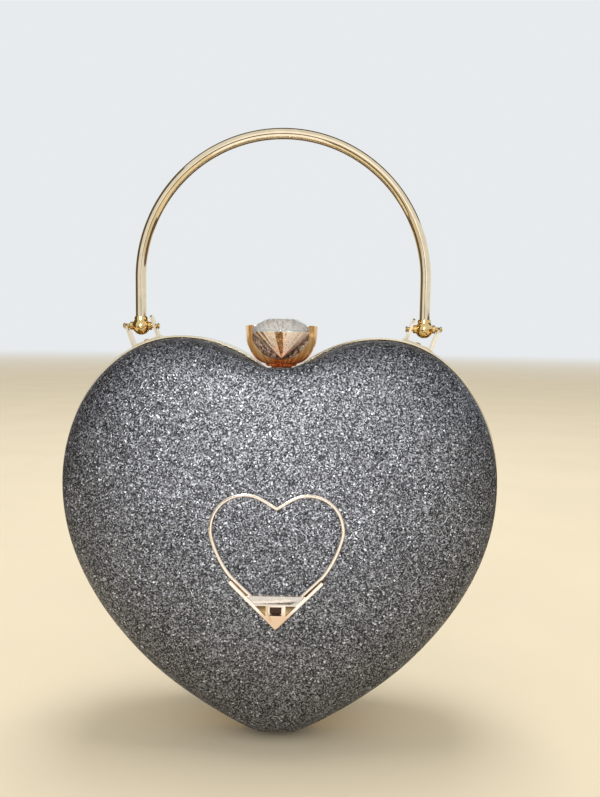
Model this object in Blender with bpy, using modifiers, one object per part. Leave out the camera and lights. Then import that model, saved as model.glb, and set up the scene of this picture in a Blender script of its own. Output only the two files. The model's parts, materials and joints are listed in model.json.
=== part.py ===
"""Heart-shaped hard clutch with a tilting crystal clasp, a folding rod handle and a heart ornament.

Metres, +Z up. The front faces -Y, the two halves meet in the plane Y = 0 and the tip stands on Z = 0.
The back half carries the handle and the clasp; the front half opens forwards on the hinge at the tip.
"""

from math import asin, atan2, cos, pi, radians, sin, sqrt, tan

import bmesh
import bpy
from mathutils import Matrix, Vector

# Whole object
HALF_WIDTH = 0.0841
HEIGHT = 0.1551
CROWN = 0.0270  # from the mating plane to the outside of the front cover
CLEARANCE = 0.0003  # between pieces that touch
HALF_GAP = 0.00015  # from the mating plane to each half
OVERRUN = 0.0010  # how far a cutter reaches past what it cuts
WELD = 0.00001  # points closer than this are one

# Outline of the heart, in shares of HALF_WIDTH and HEIGHT: each row is a Bezier end with its handles
SEAT_HALF = 0.0045  # flat seat of the clasp in the cleft
CLEFT_DEPTH = 0.0127
TIP_HALF = 0.0070  # flat under the tip
SHOULDER_SHARES = ((0.143, 0.957), (0.274, 1.0), (0.452, 1.0))
LOBE_SHARES = ((0.767, 1.0), (1.0, 0.832), (1.0, 0.632))
FLANK_SHARES = ((1.0, 0.464), (0.845, 0.315), (0.618, 0.192))
TIP_SHARES = ((0.451, 0.101), (0.178, 0.017))
SHOULDER_STEPS = 6
LOBE_STEPS = 8
FLANK_STEPS = 5
TIP_STEPS = 6

# Metal rim of each half: a wall, with a flange that carries the shell
RIM_WALL = 0.00085
RIM_DEPTH = 0.0065
FLANGE_WIDTH = 0.0050
FLANGE_THICKNESS = 0.0010
FLANGE_SINK = 0.0006  # from the edge of the wall down to the flange

# Domed skins, from the outside in
COVER_WALL = 0.0006
SHELL_WALL = 0.0012
LINING_WALL = 0.0008
LINING_DROP = 0.0026  # padding space between shell and lining at the crown
DOME_POWER = 3.3
DOME_CENTRE_SHARE = 0.55
DOME_ANGLES = (0, 13, 29, 47, 66, 83)
LINING_ANGLES = (0, 20, 48, 80)
CLEFT_FADE = (20, 80)  # angles between which the cleft runs out into the crown
FRONT_CLEFT_FADE = (0, 52)  # it runs out sooner under the clasp

# Hinge under the tip
AXIS_HEIGHT = 0.0019
KNUCKLE_RADIUS = 0.0015
KNUCKLE_HALF = 0.0118
MIDDLE_HALF = 0.0040
HINGE_PIN_RADIUS = 0.0007
HINGE_HEAD_RADIUS = 0.0012
HINGE_HEAD = 0.0004
LEAF_THICKNESS = 0.0013
LEAF_HALF = 0.0064
LEAF_REACH = 0.0046
NOTCH_HALF = 0.0127
NOTCH_DEPTH = 0.0025
HINGE_RIVET_OUT = 0.0044
HINGE_RIVET_BACK = 0.0036

# Rivets and turned ends
RIVET_RADIUS = 0.0006
RIVET_HEAD_RADIUS = 0.0011
RIVET_HEAD = 0.0004
RIVET_TAIL = 0.0005  # past the inside of the wall that it holds
RIVET_SIDES = 8
BORE_CLEARANCE = 0.00015
HEAD_TOP_SHARE = 0.7  # flat top of a domed head, in shares of its radius
HEAD_SHOULDER_SHARE = 0.35  # height of its shoulder, in shares of its own

# Clasp: a cup that carries the crystal and tilts on the back rim
CUP_CENTRE = -0.0020
CUP_RADIUS = 0.01395
CUP_TOP = 0.0150  # above the underside of the cup
CUP_BOTTOM_GAP = 0.0019  # from the seat to the underside
CUP_UPPER_SHARES = ((1.0, 1.0), (0.976, 0.65), (0.932, 0.48), (0.824, 0.28))
CUP_LOWER_SHARES = ((0.69, 0.14), (0.527, 0.047), (0.344, 0.007), (0.0, 0.0))
CUP_STEPS = 24
WINDOW_HALF = 0.0107
WINDOW_FLOOR = 0.0019
WINDOW_UPPER_SHARES = ((1.0, 0.60), (0.953, 0.50), (0.822, 0.36))
WINDOW_LOWER_SHARES = ((0.626, 0.185), (0.449, 0.095), (0.257, 0.03))
BOWL_SHARE = 0.82  # of the cup's radius, for the hollow under the crystal
BOWL_SHARES = ((1.0, 1.0), (0.976, 0.65), (0.824, 0.28), (0.527, 0.047), (0.0, 0.0))
CLASP_AXIS_Y = 0.0066
CLASP_AXIS_RISE = 0.0022  # above the seat
CLASP_EAR_RADIUS = 0.0013
CLASP_EAR_IN = 0.0022
CLASP_REAR_SHARE = 0.7  # how far the plate and the web reach round their ears
CLASP_PLATE_HALF = 0.0040
CLASP_PLATE_START = 0.0006
CLASP_PLATE_THICKNESS = 0.0009
CLASP_PIN_RADIUS = 0.0006
CLASP_RIVET_Y = 0.0024
TONGUE_HALF = 0.0013
TONGUE_Y = -0.0027
TONGUE_THICKNESS = 0.0009
TONGUE_REACH = 0.0026  # below the seat
TONGUE_BARB = 0.0003
TONGUE_FOOT_HALF = 0.0017
TONGUE_FOOT = 0.0006
TONGUE_STUD_RADIUS = 0.0007
TONGUE_STUD = 0.0010
SLOT_HALF = 0.0017
SLOT_FRONT = -0.0044
SLOT_BACK = -0.0017
CATCH_HALF = 0.0038
CATCH_FRONT = -0.0047
CATCH_BACK = -0.0007
CATCH_THICKNESS = 0.0008
CATCH_RIVET_OUT = 0.0029

# Crystal
GEM_RADIUS = 0.0122
GEM_SEAT = 0.0021  # from the top of the cup down to the girdle
GEM_CROWN = 0.0046
GEM_PAVILION = 0.0105
GIRDLE = 0.0004
TABLE_SHARE = 0.52
CROWN_MID_SHARE = 0.80
PAVILION_MID_SHARE = 0.52
GEM_SIDES = 8

# Handle
BRACKET_SIDE = 0.0308  # from the side of the case in to the brackets
PIVOT_ROOM = 0.0024  # between the caps on the pins and the brackets' feet
PIVOT_Y = 0.0033
ROD_RADIUS = 0.0021
LEG = 0.0186
BALL_RADIUS = 0.0035
COLLAR_RADIUS = 0.0026
COLLAR_TOP = 0.0037
ROD_START = 0.0030
HUB_RADIUS = 0.0016
HUB_REACH = 0.0044
ARCH_STEPS = 26
BALL_STEPS = 7
BALL_SIDES = 12
ROUND_SIDES = 12

# Brackets of the handle
EAR_SPREAD = 0.0052
EAR_THICKNESS = 0.0009
EAR_WIDTH = 0.0054
EAR_LEAN = radians(20)
EAR_STEPS = 8
BRACKET_BASE = 0.0009
PIVOT_PIN_RADIUS = 0.0008
PIVOT_CAP_RADIUS = 0.0012
PIVOT_CAP = 0.0006

# Ornament on the front crown
RING_BAND = 0.00065  # half the width of the band
RING_HALF_WIDTH = 0.0239
RING_HEIGHT = 0.0460
RING_CLEFT = 0.0049
RING_BELOW = 0.0328  # from the middle of the crown down to its tip
RING_SHOULDER_SHARES = ((0.167, 0.945), (0.293, 1.0), (0.469, 1.0))
RING_LOBE_SHARES = ((0.770, 1.0), (1.0, 0.880), (1.0, 0.725))
RING_FLANK_SHARES = ((1.0, 0.626), (0.820, 0.416), (0.669, 0.338))
RING_STEPS = 6
CLIP_HEIGHT = 0.0122  # from its tip to the top edge of its plate
CLIP_ARM = 0.0169  # from its tip to the ends of its arms
CLIP_ARM_WIDTH = 0.0011
CLIP_NOSE = 0.0006  # what its tip is rounded off by
CLIP_THICKNESS = 0.0028
CLIP_BEVEL = 0.0030  # height of the bright slope under the top edge
CLIP_SLOPE = 0.0010  # how far that slope falls back
POCKET_DEPTH = 0.0009
BLOCK_HALF = 0.0036
SLIT_HALF = 0.0021
SLIT_TOP = 0.0004
SLIT_DROP = 0.0032
SLIT_DEPTH = 0.0014
STUD_RADIUS = 0.0007
STUD_OUT = 0.0046
STUD_DROP = 0.0018  # below the top edge of the clip
NUT_RADIUS = 0.0019
NUT_THICKNESS = 0.0008
NUT_GAP = 0.00025  # between the nuts and the shell, at their lower edge

GOLD = (0.86, 0.70, 0.44)
WARM_GOLD = (0.83, 0.62, 0.30)
ROSE_GOLD = (0.90, 0.66, 0.50)
STEEL = (0.62, 0.62, 0.60)

BACK = 1
FRONT = -1
ALONG_X = Matrix.Rotation(pi / 2, 4, "Y")
ALONG_Y = Matrix.Rotation(pi / 2, 4, "X")

SEAT_HEIGHT = HEIGHT - CLEFT_DEPTH
SKIN_START = RIM_DEPTH - FLANGE_SINK + CLEARANCE
COVER_INSET = RIM_WALL + CLEARANCE
SHELL_INSET = COVER_INSET + COVER_WALL + CLEARANCE
LINING_INSET = SHELL_INSET + SHELL_WALL + CLEARANCE
BACK_CROWN = CROWN + CLEARANCE + CLIP_THICKNESS  # as deep as the front with its ornament
SHELL_SINK = COVER_WALL + CLEARANCE
LINING_SINK = SHELL_SINK + SHELL_WALL + LINING_DROP
CUP_UNDERSIDE = SEAT_HEIGHT + CUP_BOTTOM_GAP
CLASP_AXIS_Z = SEAT_HEIGHT + CLASP_AXIS_RISE
GEM_HEIGHT = CUP_UNDERSIDE + CUP_TOP - GEM_SEAT
EAR_REACH = (EAR_SPREAD + EAR_THICKNESS / 2) / cos(EAR_LEAN) + PIVOT_CAP_RADIUS * tan(EAR_LEAN)
BRACKET_PLACE = HALF_WIDTH - BRACKET_SIDE
BRACKET_HALF = EAR_SPREAD + EAR_THICKNESS / 2
RING_TIP = HEIGHT * DOME_CENTRE_SHARE - RING_BELOW
RING_EDGE = CLIP_ARM_WIDTH + CLEARANCE + RING_BAND  # from the clip's edge to the band's middle


def clear_scene():
    for obj in list(bpy.data.objects):
        bpy.data.objects.remove(obj)


def collection(name):
    made = bpy.data.collections.new(name)
    bpy.context.scene.collection.children.link(made)
    return made


def material(name, colour, roughness, metallic):
    made = bpy.data.materials.new(name)
    made.use_nodes = True
    shader = made.node_tree.nodes["Principled BSDF"]
    shader.inputs["Base Color"].default_value = (*colour, 1)
    shader.inputs["Roughness"].default_value = roughness
    shader.inputs["Metallic"].default_value = metallic
    made.diffuse_color = (*colour, 1)
    return made


def helper(obj):
    """Keeps a cutter or a piece of a union out of the part."""
    HELPERS.objects.link(obj)
    obj.hide_render = True
    obj.display_type = "WIRE"
    return obj


def part(obj, parent, look, smooth=False):
    """Adds a piece to the part, with its origin on the axis of the body that it belongs to."""
    OBJECT.objects.link(obj)
    obj.data.transform(Matrix.Translation(-parent.location) @ obj.matrix_basis)
    obj.matrix_basis = Matrix.Identity(4)
    obj.parent = parent
    obj.data.materials.append(look)
    if smooth:
        obj.data.shade_smooth()
        obj.data.set_sharp_from_angle(angle=radians(38))
    return obj


def axis(name, place):
    """An empty on a joint's axis, to which the pieces of that body are parented."""
    made = bpy.data.objects.new(name, None)
    made.empty_display_size = SEAT_HALF
    made.location = place
    OBJECT.objects.link(made)
    return made


def boolean(obj, other, operation):
    step = obj.modifiers.new(other.name, "BOOLEAN")
    step.operation = operation
    step.object = other
    step.solver = "EXACT"


def cut(obj, *cutters):
    for cutter in cutters:
        boolean(obj, cutter, "DIFFERENCE")
    return obj


def join(obj, *others):
    for other in others:
        boolean(obj, other, "UNION")
    return obj


def from_bmesh(name, shape):
    bmesh.ops.recalc_face_normals(shape, faces=shape.faces)
    mesh = bpy.data.meshes.new(name)
    shape.to_mesh(mesh)
    shape.free()
    return bpy.data.objects.new(name, mesh)


def box(name, low, high):
    low = Vector(low)
    high = Vector(high)
    shape = bmesh.new()
    bmesh.ops.create_cube(shape, size=1)
    bmesh.ops.transform(shape, matrix=Matrix.Diagonal((*(high - low), 1)), verts=shape.verts)
    bmesh.ops.translate(shape, vec=(low + high) / 2, verts=shape.verts)
    return from_bmesh(name, shape)


def cylinder(name, centre, radius, length, turn=None):
    """A cylinder along Z, turned by a matrix, with its middle at centre."""
    shape = bmesh.new()
    bmesh.ops.create_cone(
        shape, cap_ends=True, segments=ROUND_SIDES, radius1=radius, radius2=radius, depth=length
    )
    obj = from_bmesh(name, shape)
    obj.data.transform(Matrix.Translation(centre) @ (turn or Matrix.Identity(4)))
    return obj


def hull(name, points):
    """The convex solid round some points, its flat faces whole."""
    shape = bmesh.new()
    for point in points:
        shape.verts.new(point)
    bmesh.ops.convex_hull(shape, input=shape.verts)
    bmesh.ops.dissolve_limit(shape, angle_limit=radians(1), verts=shape.verts, edges=shape.edges)
    return from_bmesh(name, shape)


def turned(name, profile, centre, steps=ROUND_SIDES):
    """A profile of (radius, height) points, from the top down its outer side, turned about Z."""
    shape = bmesh.new()
    points = [shape.verts.new((radius, 0, height)) for radius, height in profile]
    for start, end in zip(points, points[1:]):
        shape.edges.new((start, end))
    mesh = bpy.data.meshes.new(name)
    shape.to_mesh(mesh)
    shape.free()
    obj = bpy.data.objects.new(name, mesh)
    obj.location = centre
    screw = obj.modifiers.new("turn", "SCREW")
    screw.axis = "Z"
    screw.steps = steps
    screw.render_steps = steps
    screw.use_merge_vertices = True
    screw.merge_threshold = WELD
    return baked(obj)


def baked(obj):
    """The same object as a closed mesh, with its curve or modifiers worked out."""
    HELPERS.objects.link(obj)
    bpy.context.view_layer.update()
    graph = bpy.context.evaluated_depsgraph_get()
    mesh = bpy.data.meshes.new_from_object(obj.evaluated_get(graph))
    made = bpy.data.objects.new(obj.name, mesh)
    made.matrix_basis = obj.matrix_world
    name = obj.name
    bpy.data.objects.remove(obj)
    made.name = name
    shape = bmesh.new()
    shape.from_mesh(mesh)
    bmesh.ops.remove_doubles(shape, verts=shape.verts, dist=WELD / 2)
    bmesh.ops.recalc_face_normals(shape, faces=shape.faces)
    shape.to_mesh(mesh)
    shape.free()
    return made


def plate(name, loops, low, high):
    """A flat plate whose outline and holes are loops of (x, z) points, from y = low to y = high."""
    curve = bpy.data.curves.new(name, "CURVE")
    curve.dimensions = "2D"
    curve.fill_mode = "BOTH"
    curve.extrude = (high - low) / 2
    for loop in loops:
        spline = curve.splines.new("POLY")
        spline.points.add(len(loop) - 1)
        for point, (x, z) in zip(spline.points, loop):
            point.co = (x, z, 0, 1)
        spline.use_cyclic_u = True
    obj = bpy.data.objects.new(name, curve)
    obj.rotation_euler.x = pi / 2
    obj.location.y = (low + high) / 2
    return baked(obj)


def bezier(start, first, second, end, steps):
    """Points of a cubic Bezier from start up to, and not with, its end."""
    points = []
    for step in range(steps):
        t = step / steps
        s = 1 - t
        points.append(start * s**3 + 3 * first * s * s * t + 3 * second * s * t * t + end * t**3)
    return points


def scaled(shares, width, height):
    return [Vector((x * width, z * height)) for x, z in shares]


def heart_half(fill=0):
    """Right half of the case's outline, from the cleft to the tip. fill raises the cleft by that share."""
    shoulder = scaled(SHOULDER_SHARES, HALF_WIDTH, HEIGHT)
    lobe = scaled(LOBE_SHARES, HALF_WIDTH, HEIGHT)
    flank = scaled(FLANK_SHARES, HALF_WIDTH, HEIGHT)
    tip = scaled(TIP_SHARES, HALF_WIDTH, HEIGHT)
    points = bezier(Vector((SEAT_HALF, SEAT_HEIGHT)), *shoulder, SHOULDER_STEPS)
    points = [Vector((p.x, p.y + fill * (HEIGHT - p.y))) for p in points]
    points += bezier(shoulder[-1], *lobe, LOBE_STEPS)
    points += bezier(lobe[-1], *flank, FLANK_STEPS)
    points += bezier(flank[-1], *tip, Vector((TIP_HALF, 0)), TIP_STEPS)
    return points + [Vector((TIP_HALF, 0))]


def both_sides(half):
    """The closed loop of an outline and its mirror image, clockwise as seen from the front."""
    return half + [Vector((-p.x, p.y)) for p in reversed(half)]


def inset(loop, distance):
    """The loop moved inwards by a distance, or outwards by a negative one."""
    moved = []
    for i, here in enumerate(loop):
        before = (here - loop[i - 1]).normalized()
        after = (loop[(i + 1) % len(loop)] - here).normalized()
        first = Vector((before.y, -before.x))
        middle = (first + Vector((after.y, -after.x))).normalized()
        moved.append(here + middle * (distance / middle.dot(first)))
    return moved


def case_loop(distance, fill=0):
    return inset(both_sides(heart_half(fill)), distance)


def dome_rings(side, distance, crown, angles, fade):
    """Loops of one domed surface: insets and depths follow a superellipse, and the cleft runs out."""
    centre = Vector((0, HEIGHT * DOME_CENTRE_SHARE))
    low, high = fade
    rings = []
    for angle in angles:
        share = min(max((angle - low) / (high - low), 0), 1)
        fill = share * share * (3 - 2 * share)
        size = cos(radians(angle)) ** (2 / DOME_POWER)
        depth = SKIN_START + (crown - SKIN_START) * sin(radians(angle)) ** (2 / DOME_POWER)
        loop = [centre + (point - centre) * size for point in case_loop(distance, fill)]
        rings.append([Vector((x, side * depth, z)) for x, z in loop])
    return rings


def loft(name, rings, closed, split=False):
    """Skin through rings of equal length: closed comes back to the first, else both ends are capped.
    Split halves each face alike on both hands and in every layer, so that layers stay apart."""
    shape = bmesh.new()
    loops = [[shape.verts.new(point) for point in ring] for ring in rings]
    followers = loops[1:] + loops[:1] if closed else loops[1:]
    for first, second in zip(loops, followers):
        inwards = abs(first[0].co.y) > abs(second[0].co.y)
        for i in range(len(first)):
            j = (i + 1) % len(first)
            corners = [first[i], first[j], second[j], second[i]]
            if not split:
                shape.faces.new(corners)
                continue
            if inwards == (i < len(first) // 2):
                corners = corners[1:] + corners[:1]
            shape.faces.new(corners[:3])
            shape.faces.new(corners[2:] + corners[:1])
    if not closed:
        shape.faces.new(loops[0])
        shape.faces.new(loops[-1])
    return from_bmesh(name, shape)


def dome(name, side, distance, crown, wall, angles=DOME_ANGLES, fade=CLEFT_FADE):
    """A domed skin of even wall: an outer and an inner loft, closed by its rim."""
    rings = list(reversed(dome_rings(side, distance, crown, angles, fade)))
    rings += dome_rings(side, distance + wall, crown - wall, angles, fade)
    return loft(name, rings, False, True)


def rim(name, side):
    """The metal rim of one half: an outer wall and the flange that the skins stand on."""
    flange_high = RIM_DEPTH - FLANGE_SINK
    flange_low = flange_high - FLANGE_THICKNESS
    section = (
        (0, HALF_GAP),
        (0, RIM_DEPTH),
        (RIM_WALL, RIM_DEPTH),
        (RIM_WALL, flange_high),
        (FLANGE_WIDTH, flange_high),
        (FLANGE_WIDTH, flange_low),
        (RIM_WALL, flange_low),
        (RIM_WALL, HALF_GAP),
    )
    rings = [[Vector((x, side * y, z)) for x, z in case_loop(distance)] for distance, y in section]
    wall = loft(name, rings, True)
    notch_top = AXIS_HEIGHT + KNUCKLE_RADIUS + CLEARANCE
    reach = side * NOTCH_DEPTH
    notch = box(
        name + "_notch",
        (-NOTCH_HALF, min(-side * OVERRUN, reach), -OVERRUN),
        (NOTCH_HALF, max(-side * OVERRUN, reach), notch_top),
    )
    return cut(wall, helper(notch))


def hole(name, centre, radius, length, turn=None):
    return helper(cylinder(name, centre, radius + BORE_CLEARANCE, length, turn))


def rivet(name, centre, length, turn=None):
    """A rivet along Z, its head on top; centre is the foot of its shank."""
    top = length + RIVET_HEAD
    shoulder = length + RIVET_HEAD * HEAD_SHOULDER_SHARE
    head = ((0, top), (RIVET_HEAD_RADIUS * HEAD_TOP_SHARE, top), (RIVET_HEAD_RADIUS, shoulder))
    shank = ((RIVET_HEAD_RADIUS, length), (RIVET_RADIUS, length), (RIVET_RADIUS, 0), (0, 0))
    obj = turned(name, (*head, *shank), (0, 0, 0), RIVET_SIDES)
    obj.data.transform(Matrix.Translation(centre) @ (turn or Matrix.Identity(4)))
    return obj


def hinge_leaf(name, side, knuckles):
    """Half of the hinge: its knuckles and the leaf that is riveted to the rim's wall."""
    low = AXIS_HEIGHT - LEAF_THICKNESS / 2
    high = AXIS_HEIGHT + LEAF_THICKNESS / 2
    near, far = sorted((side * NOTCH_DEPTH, side * LEAF_REACH))
    leaf = box(name, (-LEAF_HALF, near, low), (LEAF_HALF, far, high))
    reach = NOTCH_DEPTH - CLEARANCE
    bridge_far = reach + CLEARANCE + OVERRUN
    for i, (start, end) in enumerate(knuckles):
        middle = Vector(((start + end) / 2, 0, AXIS_HEIGHT))
        barrel = cylinder(f"{name}_barrel_{i}", middle, KNUCKLE_RADIUS, end - start, ALONG_X)
        ys = sorted((side * HINGE_PIN_RADIUS, side * reach))
        web = box(f"{name}_web_{i}", (start, ys[0], low), (end, ys[1], high))
        join(leaf, helper(barrel), helper(web))
        inner = (max(start, -LEAF_HALF), min(end, LEAF_HALF))
        ys = sorted((side * (reach - OVERRUN), side * bridge_far))
        trim = CLEARANCE / 3
        bridge = box(
            f"{name}_bridge_{i}", (inner[0], ys[0], low + trim), (inner[1], ys[1], high - trim)
        )
        join(leaf, helper(bridge))
    bore = hole(
        name + "_bore", (0, 0, AXIS_HEIGHT), HINGE_PIN_RADIUS, 2 * (KNUCKLE_HALF + OVERRUN), ALONG_X
    )
    return cut(leaf, bore)


def hinge(back, front):
    steel = material("hinge_steel", STEEL, 0.32, 1)
    split = MIDDLE_HALF + CLEARANCE
    sides = ((-KNUCKLE_HALF, -split), (split, KNUCKLE_HALF))
    leaves = (
        (hinge_leaf("hinge_leaf_back", BACK, sides), BACK, back),
        (hinge_leaf("hinge_leaf_front", FRONT, ((-MIDDLE_HALF, MIDDLE_HALF),)), FRONT, front),
    )
    reach = KNUCKLE_HALF + CLEARANCE
    profile = (
        (0, reach + HINGE_HEAD),
        (HINGE_HEAD_RADIUS, reach + HINGE_HEAD),
        (HINGE_HEAD_RADIUS, reach),
        (HINGE_PIN_RADIUS, reach),
        (HINGE_PIN_RADIUS, -reach),
        (HINGE_HEAD_RADIUS, -reach),
        (HINGE_HEAD_RADIUS, -reach - HINGE_HEAD),
        (0, -reach - HINGE_HEAD),
    )
    pin = turned("hinge_pin", profile, (0, 0, 0))
    pin.data.transform(Matrix.Translation((0, 0, AXIS_HEIGHT)) @ ALONG_X)
    part(pin, back, steel, True)
    foot = RIM_WALL / 4
    length = AXIS_HEIGHT + LEAF_THICKNESS / 2 + CLEARANCE / 2 - foot
    for leaf, side, body in leaves:
        half = "back" if side == BACK else "front"
        for hand, out in (("left", -HINGE_RIVET_OUT), ("right", HINGE_RIVET_OUT)):
            place = (out, side * HINGE_RIVET_BACK, foot)
            bore = hole(f"bore_{half}_{hand}", place, RIVET_RADIUS, 4 * length)
            cut(leaf, bore)
            cut(RIMS[side], bore)
            part(rivet(f"hinge_rivet_{half}_{hand}", place, length), body, steel, True)
        part(leaf, body, steel)


def skins(side, body):
    """Glitter cover, hard shell and lining of one half."""
    half = "back" if side == BACK else "front"
    crown = BACK_CROWN if side == BACK else CROWN
    glitter = material(f"{half}_glitter", (0.10, 0.11, 0.13), 0.35, 0.4)
    board = material(f"{half}_board", (0.07, 0.07, 0.07), 0.6, 0)
    satin = material(f"{half}_satin", (0.05, 0.05, 0.06), 0.55, 0)
    fade = CLEFT_FADE if side == BACK else FRONT_CLEFT_FADE
    cover = dome(f"{half}_cover", side, COVER_INSET, crown, COVER_WALL, fade=fade)
    deep = crown - SHELL_SINK
    shell = dome(f"{half}_shell", side, SHELL_INSET, deep, SHELL_WALL, fade=fade)
    deep = crown - LINING_SINK
    lining = dome(f"{half}_lining", side, LINING_INSET, deep, LINING_WALL, LINING_ANGLES)
    part(cover, body, glitter, True)
    part(shell, body, board, True)
    part(lining, body, satin, True)
    return cover, shell


def clasp_cup(tilt):
    """A turned bowl, hollow under the crystal, with an arched window in front and a knuckle behind."""
    profile = scaled(CUP_UPPER_SHARES + CUP_LOWER_SHARES, CUP_RADIUS, CUP_TOP)
    cup = turned("clasp_cup", [(0, CUP_TOP), *profile], (0, CUP_CENTRE, CUP_UNDERSIDE), CUP_STEPS)
    floor = CUP_UNDERSIDE + WINDOW_FLOOR
    top = CUP_UNDERSIDE + CUP_TOP + OVERRUN
    shares = WINDOW_UPPER_SHARES + WINDOW_LOWER_SHARES
    side = [Vector((WINDOW_HALF, top))]
    side += [p + Vector((0, floor)) for p in scaled(shares, WINDOW_HALF, CUP_TOP - WINDOW_FLOOR)]
    arch = side + [Vector((0, floor))] + [Vector((-p.x, p.y)) for p in reversed(side)]
    reach = CUP_RADIUS + OVERRUN
    window = plate("cup_window", (arch,), CUP_CENTRE - reach, CUP_CENTRE)
    bowl_top = CUP_TOP - GEM_SEAT - WINDOW_FLOOR
    bowl = scaled(BOWL_SHARES, CUP_RADIUS * BOWL_SHARE, bowl_top)
    bowl = turned("cup_bowl", [(0, bowl_top), *bowl], (0, CUP_CENTRE, floor), CUP_STEPS)
    room = CLEARANCE
    seat = (
        (0, GEM_CROWN),
        (GEM_RADIUS * TABLE_SHARE + room, GEM_CROWN),
        (GEM_RADIUS + room, GIRDLE + room),
        (GEM_RADIUS + room, -GIRDLE - room),
        (room, -GEM_PAVILION - room),
        (0, -GEM_PAVILION - room),
    )
    groove = turned("cup_groove", seat, (0, CUP_CENTRE, GEM_HEIGHT), CUP_STEPS)
    ear_room = CLASP_EAR_RADIUS + CLEARANCE
    notch = box(
        "cup_notch",
        (-CLASP_PLATE_HALF - CLEARANCE, CLASP_AXIS_Y - ear_room, CUP_UNDERSIDE - OVERRUN),
        (CLASP_PLATE_HALF + CLEARANCE, CUP_CENTRE + reach, CLASP_AXIS_Z + ear_room + CLEARANCE),
    )
    cut(cup, helper(window), helper(groove), helper(bowl), helper(notch))
    half = CLASP_EAR_IN - CLEARANCE
    knuckle = cylinder(
        "cup_knuckle", (0, CLASP_AXIS_Y, CLASP_AXIS_Z), CLASP_EAR_RADIUS, 2 * half, ALONG_X
    )
    web = box(
        "cup_web",
        (-half + RIM_WALL / 4, CLASP_AXIS_Y - ear_room - OVERRUN, CUP_UNDERSIDE + CLEARANCE),
        (half - RIM_WALL / 4, CLASP_AXIS_Y, CLASP_AXIS_Z + CLASP_EAR_RADIUS * CLASP_REAR_SHARE),
    )
    join(cup, helper(knuckle), helper(web))
    bore = hole(
        "cup_bore", (0, CLASP_AXIS_Y, CLASP_AXIS_Z), CLASP_PIN_RADIUS, 2 * CLASP_PLATE_HALF, ALONG_X
    )
    socket = hole(
        "cup_socket",
        (0, TONGUE_Y, CUP_UNDERSIDE),
        TONGUE_STUD_RADIUS,
        2 * (TONGUE_STUD + CLEARANCE),
    )
    cut(cup, bore, socket)
    part(cup, tilt, material("cup_rose_gold", ROSE_GOLD, 0.16, 1), True)


def crystal(tilt):
    """A round brilliant, as the hull of its corners. Heights are set so that its kite facets are flat."""

    def ring(radius, height, sides, turn):
        return [
            (
                radius * cos(2 * pi * (i + turn) / sides),
                CUP_CENTRE + radius * sin(2 * pi * (i + turn) / sides),
                GEM_HEIGHT + height,
            )
            for i in range(sides)
        ]

    half_turn = cos(pi / GEM_SIDES)
    kite_share = (CROWN_MID_SHARE * half_turn - TABLE_SHARE) / (1 - TABLE_SHARE)
    crown_mid = GEM_CROWN - (GEM_CROWN - GIRDLE) * kite_share
    low_mid = (GEM_PAVILION - GIRDLE) * (PAVILION_MID_SHARE * half_turn - 1) - GIRDLE
    points = ring(GEM_RADIUS * TABLE_SHARE, GEM_CROWN, GEM_SIDES, 0)
    points += ring(GEM_RADIUS * CROWN_MID_SHARE, crown_mid, GEM_SIDES, 0.5)
    points += ring(GEM_RADIUS, GIRDLE, 2 * GEM_SIDES, 0)
    points += ring(GEM_RADIUS, -GIRDLE, 2 * GEM_SIDES, 0)
    points += ring(GEM_RADIUS * PAVILION_MID_SHARE, low_mid, GEM_SIDES, 0)
    points += [(0, CUP_CENTRE, GEM_HEIGHT - GEM_PAVILION)]
    look = material("crystal_glass", (0.93, 0.95, 0.97), 0.03, 0)
    part(hull("crystal", points), tilt, look)


def clasp_tongue(tilt):
    """The catch under the cup: a foot with a stud, and a barbed blade that drops through the slot."""
    high = CUP_UNDERSIDE - CLEARANCE
    low = high - TONGUE_FOOT
    blade_front = TONGUE_Y - TONGUE_THICKNESS / 2
    blade_back = TONGUE_Y + TONGUE_THICKNESS / 2
    end = SEAT_HEIGHT - TONGUE_REACH
    tongue = box(
        "clasp_tongue",
        (-TONGUE_FOOT_HALF, TONGUE_Y - TONGUE_FOOT_HALF, low),
        (TONGUE_FOOT_HALF, TONGUE_Y + TONGUE_FOOT_HALF, high),
    )
    middle = (low + high) / 2
    blade = box("tongue_blade", (-TONGUE_HALF, blade_front, end), (TONGUE_HALF, blade_back, middle))
    barb_half = TONGUE_HALF - TONGUE_BARB / 2
    barb = box(
        "tongue_barb",
        (-barb_half, TONGUE_Y, end + TONGUE_BARB / 2),
        (barb_half, blade_back + TONGUE_BARB, end + 2 * TONGUE_BARB),
    )
    stud_end = high + TONGUE_STUD
    place = (0, TONGUE_Y, (middle + stud_end) / 2)
    stud = cylinder("tongue_stud", place, TONGUE_STUD_RADIUS, stud_end - middle)
    join(tongue, helper(blade), helper(barb), helper(stud))
    part(tongue, tilt, material("tongue_steel", STEEL, 0.3, 1))


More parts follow.
